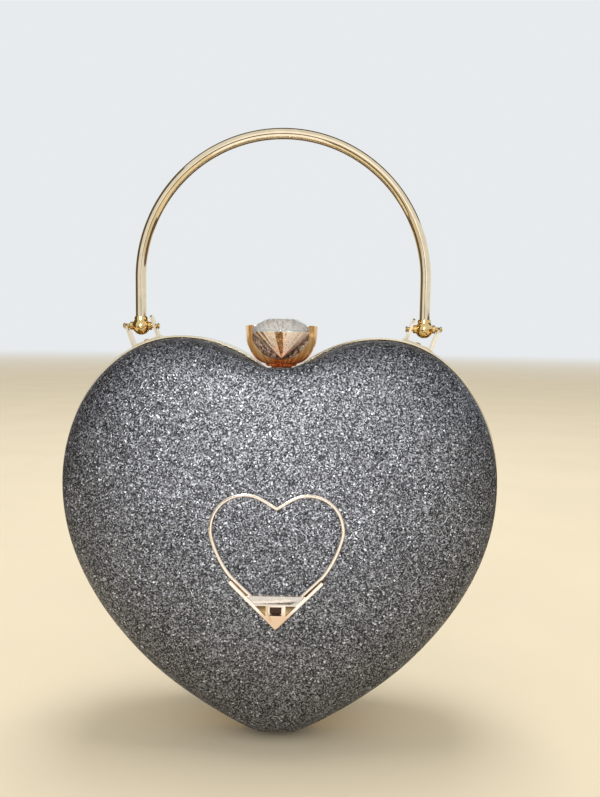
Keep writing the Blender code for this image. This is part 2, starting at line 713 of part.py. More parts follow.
def clasp_base(back):
    """The plate riveted in the cleft of the back rim, with two ears for the clasp's pin."""
    gold = material("clasp_base_gold", GOLD, 0.2, 1)
    low = SEAT_HEIGHT + CLEARANCE
    high = low + CLASP_PLATE_THICKNESS
    far = CLASP_AXIS_Y + CLASP_EAR_RADIUS * CLASP_REAR_SHARE
    start = (-CLASP_PLATE_HALF, CLASP_PLATE_START, low)
    base = box("clasp_base", start, (CLASP_PLATE_HALF, far, high))
    width = CLASP_PLATE_HALF - CLASP_EAR_IN
    for hand, side in (("left", -1), ("right", 1)):
        middle = (side * (CLASP_EAR_IN + width / 2), CLASP_AXIS_Y, CLASP_AXIS_Z)
        ear = cylinder(f"clasp_ear_{hand}", middle, CLASP_EAR_RADIUS, width - CLEARANCE / 3, ALONG_X)
        join(base, helper(ear))
    half = CLASP_EAR_IN - CLEARANCE / 3
    gap = box(
        "clasp_base_gap",
        (-half, CLASP_AXIS_Y - CLASP_EAR_RADIUS - CLEARANCE, low - OVERRUN),
        (half, far + OVERRUN, high + OVERRUN),
    )
    bore = hole(
        "clasp_base_bore",
        (0, CLASP_AXIS_Y, CLASP_AXIS_Z),
        CLASP_PIN_RADIUS,
        2 * (CLASP_PLATE_HALF + OVERRUN),
        ALONG_X,
    )
    foot = SEAT_HEIGHT - RIM_WALL - RIVET_TAIL
    length = high + CLEARANCE / 2 - foot
    place = (0, CLASP_RIVET_Y, foot)
    rivet_bore = hole("clasp_rivet_bore", place, RIVET_RADIUS, 4 * length)
    cut(base, helper(gap), bore, rivet_bore)
    cut(RIMS[BACK], rivet_bore)
    part(base, back, gold)
    part(rivet("clasp_rivet", place, length), back, gold, True)
    pin = cylinder(
        "clasp_pin", (0, CLASP_AXIS_Y, CLASP_AXIS_Z), CLASP_PIN_RADIUS, 2 * CLASP_PLATE_HALF, ALONG_X
    )
    part(pin, back, gold, True)


def catch(front):
    """The slot in the front rim and the plate that backs it."""
    steel = material("catch_steel", STEEL, 0.3, 1)
    high = SEAT_HEIGHT - RIM_WALL - CLEARANCE
    low = high - CATCH_THICKNESS
    start = (-SLOT_HALF, SLOT_FRONT, low - OVERRUN)
    slot = helper(box("catch_slot", start, (SLOT_HALF, SLOT_BACK, SEAT_HEIGHT + OVERRUN)))
    start = (-CATCH_HALF, CATCH_FRONT, low)
    catch_plate = box("catch_plate", start, (CATCH_HALF, CATCH_BACK, high))
    cut(catch_plate, slot)
    cut(RIMS[FRONT], slot)
    length = CATCH_THICKNESS + RIM_WALL + CLEARANCE
    turn = Matrix.Rotation(pi, 4, "X")
    y = (CATCH_FRONT + CATCH_BACK) / 2
    for hand, side in (("left", -1), ("right", 1)):
        place = (side * CATCH_RIVET_OUT, y, low - CLEARANCE / 2 + length)
        bore = hole(f"catch_bore_{hand}", place, RIVET_RADIUS, 4 * length)
        cut(catch_plate, bore)
        cut(RIMS[FRONT], bore)
        part(rivet(f"catch_rivet_{hand}", place, length, turn), front, steel, True)
    part(catch_plate, front, steel)


def pivot_place():
    """Where the handle's right pin is: clear of its bracket's inner end, on the lean of the ears."""
    foot = lobe_point(BRACKET_PLACE)[0]
    inner = lobe_point(BRACKET_PLACE - BRACKET_HALF)[0]
    height = inner.y + CLEARANCE + BRACKET_BASE + PIVOT_CAP_RADIUS + PIVOT_ROOM
    return Vector((foot.x + (height - foot.y) * tan(EAR_LEAN), PIVOT_Y, height))


def handle(pivot, swing):
    """The arched rod and the two balls that it is pressed into."""
    gold = material("handle_gold", GOLD, 0.14, 1)
    warm = material("ball_gold", WARM_GOLD, 0.15, 1)
    curve = bpy.data.curves.new("handle_rod", "CURVE")
    curve.dimensions = "3D"
    curve.bevel_depth = ROD_RADIUS
    curve.bevel_resolution = ROUND_SIDES // 4 - 1
    curve.use_fill_caps = True
    points = [(pivot.x, pivot.z + ROD_START)]
    for step in range(ARCH_STEPS + 1):
        angle = pi * step / ARCH_STEPS
        points.append((pivot.x * cos(angle), pivot.z + LEG + pivot.x * sin(angle)))
    points.append((-pivot.x, pivot.z + ROD_START))
    spline = curve.splines.new("POLY")
    spline.points.add(len(points) - 1)
    for point, (x, z) in zip(spline.points, points):
        point.co = (x, pivot.y, z, 1)
    rod = baked(bpy.data.objects.new("handle_rod", curve))
    part(rod, swing, gold, True)
    for hand, side in (("left", -1), ("right", 1)):
        centre = Vector((side * pivot.x, pivot.y, pivot.z))
        start = asin(COLLAR_RADIUS / BALL_RADIUS)
        profile = [(0, COLLAR_TOP), (COLLAR_RADIUS, COLLAR_TOP)]
        for step in range(BALL_STEPS):
            angle = start + (pi - start) * step / BALL_STEPS
            profile.append((BALL_RADIUS * sin(angle), BALL_RADIUS * cos(angle)))
        profile.append((0, -BALL_RADIUS))
        ball = turned(f"handle_ball_{hand}", profile, centre, BALL_SIDES)
        hub = cylinder(f"hub_{hand}", centre, HUB_RADIUS, 2 * HUB_REACH, ALONG_X)
        join(ball, helper(hub))
        socket_low = ROD_START - CLEARANCE
        socket = hole(
            f"socket_{hand}",
            centre + Vector((0, 0, (socket_low + COLLAR_TOP + OVERRUN) / 2)),
            ROD_RADIUS,
            COLLAR_TOP + OVERRUN - socket_low,
        )
        through = 2 * (HUB_REACH + OVERRUN)
        bore = hole(f"ball_bore_{hand}", centre, PIVOT_PIN_RADIUS, through, ALONG_X)
        cut(ball, socket, bore)
        part(ball, swing, warm, True)


def lobe_point(x, distance=0):
    """The point over x on the right lobe of the outline moved outwards, and the direction out of it."""
    loop = case_loop(-distance)
    for before, after in zip(loop, loop[1:]):
        if before.x <= x < after.x:
            along = (after - before).normalized()
            point = before.lerp(after, (x - before.x) / (after.x - before.x))
            return point, Vector((-along.y, along.x))
    raise ValueError("the lobe doesn't reach that far out")


def lobe_strip(start, end, low, high):
    """The band between two outward offsets of the right lobe, from x = start to x = end."""
    lines = []
    for distance in (low, high):
        first, last = (lobe_point(x, distance)[0] for x in (start, end))
        loop = case_loop(-distance)
        between = [p for p in loop[: len(loop) // 2] if start < p.x < end and p.y > last.y]
        lines.append([first, *between, last])
    return lines[1] + list(reversed(lines[0]))


def bracket(hand, side, place, back):
    """A clevis on the back rim: a strip bent to the outline, and two ears with a pin through them."""
    gold = material(f"bracket_gold_{hand}", GOLD, 0.18, 1)
    ends = (BRACKET_PLACE - BRACKET_HALF, BRACKET_PLACE + BRACKET_HALF)
    strip = lobe_strip(*ends, -OVERRUN, CLEARANCE + BRACKET_BASE)
    strip = [Vector((side * p.x, p.y)) for p in strip]
    half = EAR_WIDTH / 2
    name = f"handle_bracket_{hand}"
    made = plate(name, (strip,), PIVOT_Y - half, PIVOT_Y + half)
    pivot = Vector((side * place.x, place.y, place.z))
    lean = Matrix.Rotation(side * EAR_LEAN, 4, "Y")
    face = Matrix.Rotation(pi / 2, 4, "Z")
    round_top = half - CLEARANCE / 3
    turns = [pi * step / EAR_STEPS for step in range(EAR_STEPS + 1)]
    outline = [Vector((round_top * cos(turn), round_top * sin(turn))) for turn in turns]
    foot = lobe_point(BRACKET_PLACE + BRACKET_HALF)[0]
    drop = (place.z - foot.y) / cos(EAR_LEAN)  # the seat trims it off at the rim
    outline += [Vector((-round_top, -drop)), Vector((round_top, -drop))]
    for end, middle in (("in", -EAR_SPREAD), ("out", EAR_SPREAD)):
        ear = plate(f"{name}_ear_{end}", (outline,), -EAR_THICKNESS / 2, EAR_THICKNESS / 2)
        stand = Matrix.Translation(pivot) @ lean @ Matrix.Translation((side * middle, 0, 0))
        ear.matrix_basis = stand @ face @ ear.matrix_basis
        join(made, helper(ear))
    reach = EAR_REACH + PIVOT_CAP + OVERRUN
    under = case_loop(-CLEARANCE)
    seat = plate(f"{name}_seat", (under,), PIVOT_Y - EAR_WIDTH, PIVOT_Y + EAR_WIDTH)
    bore = hole(f"{name}_bore", pivot, PIVOT_PIN_RADIUS, 2 * reach, ALONG_X)
    cut(made, helper(seat), bore)
    point, outward = lobe_point(BRACKET_PLACE)
    tail = RIM_WALL + RIVET_TAIL
    length = tail + CLEARANCE + CLEARANCE / 2 + BRACKET_BASE
    turn = Matrix.Rotation(side * atan2(outward.x, outward.y), 4, "Y")
    foot = point - outward * tail
    foot = (side * foot.x, PIVOT_Y, foot.y)
    rivet_bore = hole(f"{name}_rivet_bore", foot, RIVET_RADIUS, 4 * length, turn)
    cut(made, rivet_bore)
    cut(RIMS[BACK], rivet_bore)
    part(made, back, gold)
    part(rivet(f"bracket_rivet_{hand}", foot, length, turn), back, gold, True)
    pivot_pin(hand, pivot, side, back)


def pivot_pin(hand, pivot, side, back):
    """The pin through a bracket and a ball, with a domed head outside and a cap inside."""
    warm = material(f"pivot_gold_{hand}", WARM_GOLD, 0.2, 1)
    end = EAR_REACH + CLEARANCE / 2
    tail = -end - PIVOT_CAP - CLEARANCE / 2
    top = end + PIVOT_CAP
    shoulder = end + PIVOT_CAP * HEAD_SHOULDER_SHARE
    head = ((0, top), (PIVOT_CAP_RADIUS * HEAD_TOP_SHARE, top), (PIVOT_CAP_RADIUS, shoulder))
    neck = ((PIVOT_CAP_RADIUS, end), (PIVOT_PIN_RADIUS, end), (PIVOT_PIN_RADIUS, tail), (0, tail))
    pin = turned(f"pivot_pin_{hand}", (*head, *neck), (0, 0, 0))
    turn = Matrix.Rotation(side * pi / 2, 4, "Y")
    pin.data.transform(Matrix.Translation(pivot) @ turn)
    part(pin, back, warm, True)
    inner = pivot - Vector((side * (end + PIVOT_CAP / 2), 0, 0))
    washer = cylinder(f"pivot_cap_{hand}", inner, PIVOT_CAP_RADIUS, PIVOT_CAP, ALONG_X)
    cut(washer, hole(f"pivot_cap_bore_{hand}", inner, PIVOT_PIN_RADIUS, 4 * PIVOT_CAP, ALONG_X))
    part(washer, back, warm, True)


def ring_half():
    """Right half of the ornament's centre line, from its cleft to its tip."""
    shoulder = scaled(RING_SHOULDER_SHARES, RING_HALF_WIDTH, RING_HEIGHT)
    lobe = scaled(RING_LOBE_SHARES, RING_HALF_WIDTH, RING_HEIGHT)
    flank = scaled(RING_FLANK_SHARES, RING_HALF_WIDTH, RING_HEIGHT)
    points = bezier(Vector((0, RING_HEIGHT - RING_CLEFT)), *shoulder, RING_STEPS)
    points += bezier(shoulder[-1], *lobe, RING_STEPS)
    points += bezier(lobe[-1], *flank, RING_STEPS)
    points += [flank[-1], Vector((0, 0))]
    return [Vector((p.x, p.y + RING_TIP)) for p in points]


def ring_loop(distance):
    half = ring_half()
    loop = half + [Vector((-p.x, p.y)) for p in reversed(half[1:-1])]
    return inset(loop, distance)


def crown_fall(height, depth):
    """How far a dome of that depth falls away from its crown, at a height on its middle line."""
    middle = HEIGHT * DOME_CENTRE_SHARE
    share = (middle - height) / middle
    return depth * (1 - (1 - share**DOME_POWER) ** (1 / DOME_POWER))


def clip_outline(tip):
    """The corner clip from the front: a triangle on its tip, with an arm along each side of the band."""
    across = CLIP_ARM_WIDTH / sqrt(2)
    top = tip + CLIP_HEIGHT
    end = Vector((CLIP_ARM - across / 2, tip + CLIP_ARM + across / 2))
    right = [
        Vector((CLIP_NOSE, tip + CLIP_NOSE)),
        Vector((CLIP_ARM, tip + CLIP_ARM)),
        end + Vector((across / 2, across / 2)),
        Vector((CLIP_ARM - across, tip + CLIP_ARM + across)),
        Vector((CLIP_HEIGHT - 2 * across, top)),
    ]
    nose = Vector((0, tip + CLIP_NOSE / 2))
    return [nose] + right + [Vector((-p.x, p.y)) for p in reversed(right)]


def clip_cutters(tip, face):
    """The slope under the clip's top edge, the pockets beside its block, and the block's slit."""
    top = tip + CLIP_HEIGHT
    slope_low = top - CLIP_BEVEL
    across = CLIP_ARM_WIDTH * sqrt(2)
    wide = CLIP_HEIGHT - across - CLEARANCE
    reach = OVERRUN
    high = face + CLIP_SLOPE
    slope = [(side * (wide - CLIP_BEVEL), face, slope_low) for side in (-1, 1)]
    slope += [(side * (wide - CLIP_BEVEL), face - reach, slope_low) for side in (-1, 1)]
    slope += [(side * (wide + reach), face - reach, top + reach) for side in (-1, 1)]
    slope += [(side * (wide + reach), high, top + reach) for side in (-1, 1)]
    pocket_top = slope_low - CLEARANCE
    half = pocket_top - tip - across
    corners = ((half, pocket_top), (BLOCK_HALF, pocket_top), (BLOCK_HALF, pocket_top - half + BLOCK_HALF))
    pockets = []
    for hand, side in (("left", -1), ("right", 1)):
        pocket = [Vector((side * x, z)) for x, z in corners]
        pockets.append(plate(f"clip_pocket_{hand}", (pocket,), face - reach, face + POCKET_DEPTH))
    slit_top = pocket_top - SLIT_TOP
    return (
        hull("clip_slope", slope),
        *pockets,
        box(
            "clip_slit",
            (-SLIT_HALF, face - reach, slit_top - SLIT_DROP),
            (SLIT_HALF, face + SLIT_DEPTH, slit_top),
        ),
    )


def ornament(front, cover, shell):
    """The heart-shaped band on the crown, the corner clip that holds it, its studs and their nuts."""
    rose = material("ring_rose_gold", ROSE_GOLD, 0.16, 1)
    clip_gold = material("clip_gold", GOLD, 0.17, 1)
    steel = material("nut_steel", STEEL, 0.35, 1)
    seat = -CROWN - CLEARANCE
    band_face = seat - 2 * RING_BAND
    band = plate("heart_ring", (ring_loop(-RING_BAND), ring_loop(RING_BAND)), band_face, seat)
    part(band, front, rose, True)
    tip = RING_TIP - RING_EDGE * sqrt(2)
    face = seat - CLIP_THICKNESS
    clip = plate("ring_clip", (clip_outline(tip),), face, seat)
    room = RING_BAND + CLEARANCE / 2
    ends = (band_face - CLEARANCE, seat + OVERRUN)
    channel = plate("clip_channel", (ring_loop(-room), ring_loop(room)), *ends)
    cut(clip, helper(channel))
    for cutter in clip_cutters(tip, face):
        cut(clip, helper(cutter))
    z = tip + CLIP_HEIGHT - STUD_DROP
    inner = CROWN - SHELL_SINK - SHELL_WALL
    nut_face = inner - crown_fall(z - NUT_RADIUS, inner - SKIN_START) - NUT_GAP
    nut_end = nut_face - NUT_THICKNESS
    stud_ends = (seat - POCKET_DEPTH, CLEARANCE - nut_end)
    for hand, side in (("left", -1), ("right", 1)):
        x = side * STUD_OUT
        place = (x, sum(stud_ends) / 2, z)
        length = stud_ends[1] - stud_ends[0]
        stud = cylinder(f"clip_stud_{hand}", place, STUD_RADIUS, length, ALONG_Y)
        join(clip, helper(stud))
        through = 4 * (SHELL_WALL + COVER_WALL)
        bore = hole(f"clip_bore_{hand}", (x, -nut_face, z), STUD_RADIUS, through, ALONG_Y)
        cut(cover, bore)
        cut(shell, bore)
        middle = (x, -(nut_face + nut_end) / 2, z)
        nut = cylinder(f"clip_nut_{hand}", middle, NUT_RADIUS, NUT_THICKNESS, ALONG_Y)
        through = 2 * (NUT_THICKNESS + OVERRUN)
        cut(nut, hole(f"nut_bore_{hand}", middle, STUD_RADIUS, through, ALONG_Y))
        part(nut, front, steel)
    part(clip, front, clip_gold)


clear_scene()
OBJECT = collection("heart_clutch")
HELPERS = collection("cutters")
RIMS = {BACK: rim("back_rim", BACK), FRONT: rim("front_rim", FRONT)}


def main():
    back = axis("back_half", (0, 0, 0))
    front = axis("front_half", (0, 0, AXIS_HEIGHT))
    pivot = pivot_place()
    swing = axis("handle", (0, pivot.y, pivot.z))
    tilt = axis("clasp", (0, CLASP_AXIS_Y, CLASP_AXIS_Z))
    skins(BACK, back)
    cover, shell = skins(FRONT, front)
    ornament(front, cover, shell)
    hinge(back, front)
    clasp_cup(tilt)
    crystal(tilt)
    clasp_tongue(tilt)
    clasp_base(back)
    catch(front)
    handle(pivot, swing)
    bracket("left", -1, pivot, back)
    bracket("right", 1, pivot, back)
    part(RIMS[BACK], back, material("back_rim_gold", GOLD, 0.2, 1))
    part(RIMS[FRONT], front, material("front_rim_gold", GOLD, 0.2, 1))
    bpy.context.view_layer.update()


main()
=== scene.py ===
"""Looks of the heart-shaped clutch: glitter fabric, gold fittings, crystal, satin, floor and light.

Metres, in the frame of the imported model: the front faces -Y and the tip stands on Z = 0. Named
values are metres too, unless they are shares, steps, sides or angles.
"""

import json
from math import pi, radians

import bmesh
import bpy
import numpy as np
from bpy.props import FloatProperty, FloatVectorProperty, PointerProperty
from bpy.types import Operator, Panel, PropertyGroup
from mathutils import Matrix, Vector

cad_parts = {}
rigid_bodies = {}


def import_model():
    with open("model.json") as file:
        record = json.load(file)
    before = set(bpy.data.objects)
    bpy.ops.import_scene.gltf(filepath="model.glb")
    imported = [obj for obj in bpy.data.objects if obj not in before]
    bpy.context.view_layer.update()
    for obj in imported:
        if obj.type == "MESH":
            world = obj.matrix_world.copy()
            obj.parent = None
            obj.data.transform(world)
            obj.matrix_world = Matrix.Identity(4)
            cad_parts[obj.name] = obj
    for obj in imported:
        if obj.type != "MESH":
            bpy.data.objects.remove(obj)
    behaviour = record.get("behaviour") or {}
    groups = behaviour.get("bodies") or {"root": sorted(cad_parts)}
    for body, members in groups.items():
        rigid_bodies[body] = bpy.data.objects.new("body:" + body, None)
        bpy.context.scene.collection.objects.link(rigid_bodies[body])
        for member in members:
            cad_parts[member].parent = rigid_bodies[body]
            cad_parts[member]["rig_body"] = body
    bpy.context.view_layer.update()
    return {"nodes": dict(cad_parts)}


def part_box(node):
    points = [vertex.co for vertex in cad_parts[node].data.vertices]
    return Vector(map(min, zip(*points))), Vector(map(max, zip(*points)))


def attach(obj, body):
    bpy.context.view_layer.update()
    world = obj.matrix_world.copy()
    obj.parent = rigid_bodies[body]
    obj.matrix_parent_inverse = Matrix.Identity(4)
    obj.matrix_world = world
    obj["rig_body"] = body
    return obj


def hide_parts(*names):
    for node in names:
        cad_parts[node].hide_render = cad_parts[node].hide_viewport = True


bl_info = {
    "name": "Heart clutch",
    "version": (1, 0, 0),
    "blender": (4, 5, 0),
    "location": "3D View > Sidebar > Clutch",
    "description": "Fabric, metal, crystal and stage of a heart-shaped clutch",
    "category": "Object",
}

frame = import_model()

# Heart outline, in shares of its half width and height: each row is a Bezier end with its handles.
# The steps are those of its four Beziers, and the last points are those near the hinge's notch.
SHOULDER_SHARES = ((0.143, 0.957), (0.274, 1.0), (0.452, 1.0))
LOBE_SHARES = ((0.767, 1.0), (1.0, 0.832), (1.0, 0.632))
FLANK_SHARES = ((1.0, 0.464), (0.845, 0.315), (0.618, 0.192))
TIP_SHARES = ((0.451, 0.101), (0.178, 0.017))
SEAT_HALF = 0.0045
CLEFT_DEPTH = 0.0127
TIP_HALF = 0.0070
OUTLINE_STEPS = (36, 44, 36, 40)
NEAR_TIP = 30
BESIDE_NOTCH = 1e-5

# Rim and skins
CLEARANCE = 0.0003
HALF_GAP = 0.00015
RIM_WALL = 0.00085
RIM_DEPTH = 0.0065
FLANGE_WIDTH = 0.0050
FLANGE_THICKNESS = 0.0010
FLANGE_SINK = 0.0006
RIM_ROUNDING = 0.00022
COVER_WALL = 0.0006
SHELL_WALL = 0.0012
LINING_WALL = 0.0008
LINING_DROP = 0.0026
DOME_POWER = 3.3
DOME_CENTRE_SHARE = 0.55
CLEFT_FADE = {"back": (20, 80), "front": (0, 52)}
LINING_FADE = (20, 80)
ARC_SAMPLES = 4000
NOTCH_HALF = 0.0127
NOTCH_DEPTH = 0.0025
NOTCH_TOP = 0.0037
SLOT_HALF = 0.0017
SLOT_ENDS = (0.0017, 0.0044)
SLOT_ABOVE = 0.1
SKIN_START = RIM_DEPTH - FLANGE_SINK + CLEARANCE
COVER_INSET = RIM_WALL + CLEARANCE
SHELL_INSET = COVER_INSET + COVER_WALL + CLEARANCE
LINING_INSET = SHELL_INSET + SHELL_WALL + CLEARANCE
SHELL_SINK = COVER_WALL + CLEARANCE
LINING_SINK = SHELL_SINK + SHELL_WALL + LINING_DROP

# Layers of a half: name, node, slot, inset, how far its crown sinks, wall, rings and puckers
LAYERS = (
    ("glitter", "cover", "glitter_fabric", COVER_INSET, 0, COVER_WALL, 64, 0.0),
    ("board", "shell", "hard_shell", SHELL_INSET, SHELL_SINK, SHELL_WALL, 40, 0.0),
    ("satin", "lining", "satin_lining", LINING_INSET, LINING_SINK, LINING_WALL, 56, 0.006),
)

# Clasp
CUP_CENTRE = -0.0020
CUP_UPPER_SHARES = ((1.0, 1.0), (0.976, 0.65), (0.932, 0.48), (0.824, 0.28))
CUP_LOWER_SHARES = ((0.69, 0.14), (0.527, 0.047), (0.344, 0.007), (0.0, 0.0))
WINDOW_UPPER_SHARES = ((1.0, 0.60), (0.953, 0.50), (0.822, 0.36))
WINDOW_LOWER_SHARES = ((0.626, 0.185), (0.449, 0.095), (0.257, 0.03), (0.0, 0.0))
WINDOW_HALF_SHARE = 0.767
WINDOW_FLOOR = 0.0019
WINDOW_ABOVE = 0.001
WINDOW_REACH = 0.016
CUP_SIDES = 96
CUP_EDGE = 0.00022
LIP_EDGE = 0.00025
PROFILE_STEPS = 6
BOWL_SHARE = 0.82
BOWL_SHARES = ((1.0, 1.0), (0.976, 0.65), (0.824, 0.28), (0.527, 0.047), (0.0, 0.0))
GEM_CROWN = 0.0046
GEM_PAVILION = 0.0105
GIRDLE = 0.0004
TABLE_SHARE = 0.52
FACETS = 16
GEM_SEAT = 0.0021
GEM_EDGE = 0.00006
GEM_SHARP = radians(4)
FOIL_BELOW = -0.05
CLASP_AXIS_Y = 0.0066
CLASP_AXIS_RISE = 0.0022
EAR_RADIUS = 0.0013
KNUCKLE_HALF = 0.0019
WEB_INSET = 0.0002
WEB_OVERLAP = 0.001
WEB_TOP_SHARE = 0.7
RECESS_BELOW = 0.001
RECESS_REACH = 0.01
PLATE_HALF = 0.0040
BOTTOM_GAP = 0.0019
SOLE_GAP = 0.0014
SOLE_RADII = (0.0056, 0.0060, 0.0062)
SOLE_EDGE = 0.0004
SOLE_SIDES = 64
CUP_DOUBLES = 5e-6

# Handle
ROD_START = 0.0030
LEG = 0.0186
COLLAR_RADIUS = 0.0026
COLLAR_TOP = 0.0037
HUB_RADIUS = 0.0016
HUB_REACH = 0.0044
PIN_RADIUS = 0.0008
PIN_HEAD = 0.0009
CAP_EDGE = 0.0002
BALL_EDGE = 0.0003
BALL_BORE = 0.0022
BORE_DEPTH = 0.0004
BALL_END = 0.04
BALL_STEPS = 22
ARCH_STEPS = 241
ROD_SIDES = 40
TURNED_SIDES = 32

# Ornament, in shares of its half width and height
RING_SHOULDER_SHARES = ((0.167, 0.945), (0.293, 1.0), (0.469, 1.0))
RING_LOBE_SHARES = ((0.770, 1.0), (1.0, 0.880), (1.0, 0.725))
RING_FLANK_SHARES = ((1.0, 0.626), (0.820, 0.416), (0.669, 0.338))
RING_CLEFT = 0.0049
RING_BELOW = 0.0328
RING_STEPS = (24, 30, 30, 9)
CLIP_THICKNESS = 0.0028
CLIP_BEVEL_LOW = 0.0267
CLIP_EDGE = 0.00022

# Softened edges of the fittings
BRACKET_EDGE = 0.00018
PLATE_EDGE = 0.00012
NUT_EDGE = 0.0001
PIN_EDGE = 0.00008

SIDES = {"back": 1, "front": -1}
SHARP = radians(38)
SHARP_SKIN = radians(60)
SHARP_CUP = radians(30)
BEVELLED = radians(35)
BEVELLED_CUP = radians(40)
DOUBLES = 2e-6
FLAT = radians(0.6)

# Stage: the pieces that the main lamp lights, each lamp's place, size and colour, the point they
# aim at, and each card's centre and two sides
LIT_BY_KEY = (
    "front_glitter", "back_glitter", "clasp_cup_finished", "crystal_finished",
    "handle_ball_left_finished", "handle_ball_right_finished", "pivot_cap_left_finished",
    "pivot_cap_right_finished", "heart_ring_finished",
)
LAMPS = {
    "top": ((0.02, 0.16, 1.5), 0.60, (0.98, 0.99, 1.0)),
    "key": ((-0.02, -0.42, 0.20), 0.12, (1.0, 0.99, 0.97)),
    "rear": ((0.05, 0.42, 0.23), 0.12, (1.0, 0.99, 0.97)),
}
AIM = (0, 0, 0.1)
PALE_CARDS = {
    "softbox": ((0.05, -0.42, 0.345), (0.26, 0, 0), (0, 0, 0.30)),
    "floor_card": ((0.01, -0.36, 0.002), (0.19, 0, 0), (0, 0.46, 0)),
}
DARK_CARDS = {
    "camera_flag": ((0.011, -0.30, 0.165), (0.06, 0, 0), (0, 0, 0.10)),
    "left_flag": ((-0.45, 0.05, 0.30), (0, 0.60, 0), (0, 0, 0.80)),
    "right_flag": ((0.45, 0.05, 0.08), (0, 0.60, 0), (0, 0, 0.20)),
    "high_flag": ((0, 0.85, 1.0), (3.0, 0, 0), (0, 1.60, 0)),
    "rear_flag": ((0, 0.70, 0.001), (1.4, 0, 0), (0, 1.20, 0)),
    "floor_flag": ((-0.27, -0.60, 0.001), (0.46, 0, 0), (0, 0.60, 0)),
}
CARD_GLOW = 1.15
DARK = (0.10, 0.075, 0.05)
SKY = (0.95, 0.97, 1.0)
FLOOR_RADIUS = 12
FLOOR_RINGS = 20
FLOOR_SIDES = 64
FLOOR_DROP = 0.0001
SENSOR_HEIGHT = 36


def length(name, text, default):
    """A length in metres."""
    return FloatProperty(name=name, description=text, default=default, unit="LENGTH", precision=5)


def colour(name, text, default):
    """A colour as its linear red, green and blue."""
    return FloatVectorProperty(
        name=name, description=text, default=default, size=3, subtype="COLOR", min=0, max=1
    )


def bearing(name, text, degrees):
    """An angle, given in degrees."""
    return FloatProperty(name=name, description=text, default=radians(degrees), subtype="ANGLE")


def power(name, text, default):
    """The strength of a lamp in watts."""
    return FloatProperty(name=name, description=text, default=default, unit="POWER")


class CaseSettings(PropertyGroup):
    """Sizes and colours of the case's two halves."""

    half_width: length("Half width", "From the middle of the case to its side", 0.0841)
    height: length("Height", "From the tip to the top of the lobes", 0.1551)
    front_crown: length("Front depth", "From the mating plane to the front crown", 0.0270)
    back_crown: length(
        "Back depth", "From the mating plane to the back crown",
        round(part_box("back_cover")[1].y, 4),
    )
    flake: length("Flake size", "Width of one flake of the glitter", 0.00042)
    spark: length("Spark size", "Width of one of the rare bright flakes", 0.00055)
    tilt: FloatProperty(name="Flake tilt", description="How far flakes lean", default=0.23, min=0)
    dark: colour("Dark flakes", "Colour of the darkest flakes", (0.016, 0.017, 0.020))
    middle: colour("Middle flakes", "Colour of most flakes", (0.075, 0.077, 0.087))
    light: colour("Light flakes", "Colour of the lightest flakes", (0.255, 0.26, 0.285))
    satin: colour("Lining", "Colour of the satin lining", (0.040, 0.042, 0.050))
    board: colour("Shell", "Colour of the hard shell", (0.070, 0.068, 0.064))


class MetalSettings(PropertyGroup):
    """Colours of the metals, and sizes of the handle."""

    pale: colour("Rim gold", "Colour of the rim", (0.92, 0.82, 0.62))
    handle: colour("Handle gold", "Colour of the handle", (0.90, 0.76, 0.54))
    warm: colour("Warm gold", "Colour of the balls and pins", (0.83, 0.60, 0.27))
    rose: colour("Rose gold", "Colour of the cup", (0.90, 0.56, 0.36))
    ring: colour("Ornament gold", "Colour of the ornament", (0.95, 0.83, 0.70))
    steel: colour("Steel", "Colour of hidden fittings", (0.60, 0.60, 0.58))
    rod_radius: length("Rod radius", "Radius of the handle's rod", 0.0021)
    ball_radius: length("Ball radius", "Radius of the handle's balls", 0.0035)


class ClaspSettings(PropertyGroup):
    """Sizes of the cup and the crystal."""

    cup_radius: length("Cup radius", "Radius of the cup", 0.01395)
    cup_height: length("Cup height", "Height of the cup", 0.0150)
    gem_radius: length("Crystal radius", "Radius of the crystal", 0.0122)
    glass: colour("Glass", "Colour of the crystal", (0.84, 0.86, 0.87))


class OrnamentSettings(PropertyGroup):
    """Sizes of the heart-shaped band."""

    half_width: length("Half width", "From the ornament's middle to its side", 0.0239)
    height: length("Height", "From the ornament's tip to its top", 0.0460)
    band: length("Band", "Half the width of the band", 0.00065)


class StageSettings(PropertyGroup):
    """Floor, light and camera."""

    floor: colour("Floor", "Colour of the floor", (0.97, 0.83, 0.59))
    horizon: colour("Background", "Colour behind the floor", (0.80, 0.83, 0.85))
    camera_place: FloatVectorProperty(
        name="Camera", description="Place of the camera", default=(0.0110, -0.274, 0.154),
        size=3, subtype="TRANSLATION", unit="LENGTH",
    )
    yaw: bearing("Yaw", "How far the camera turns to the right", -0.75)
    pitch: bearing("Pitch", "How far the camera looks down", 4.8)
    roll: bearing("Roll", "Turn of the camera about its view", 0.75)
    lens: FloatProperty(
        name="Lens", description="Focal length for a sensor 36 mm high", default=31.6,
        subtype="DISTANCE_CAMERA",
    )
    key: power("Key", "Strength of the main lamp", 2.15)
    top: power("Top", "Strength of the top lamp", 8.2)
    rear: power("Rear", "Strength of the rear lamp", 1.2)
    softbox: colour("Softbox", "Colour of the pale card that metal and flakes see", (1.0, 1.0, 1.0))
    world: FloatProperty(name="Sky", description="Strength of the world's own light", default=0.68)


# Shapes


def bezier(ends, steps):
    """Cubic Bezier without its end: (1-t)^3 a + 3(1-t)^2 t b + 3(1-t) t^2 c + t^3 d."""
    t = np.arange(steps)[:, None] / steps
    s = 1 - t
    a, b, c, d = np.asarray(ends, float)
    return a * s**3 + 3 * b * s * s * t + 3 * c * s * t * t + d * t**3


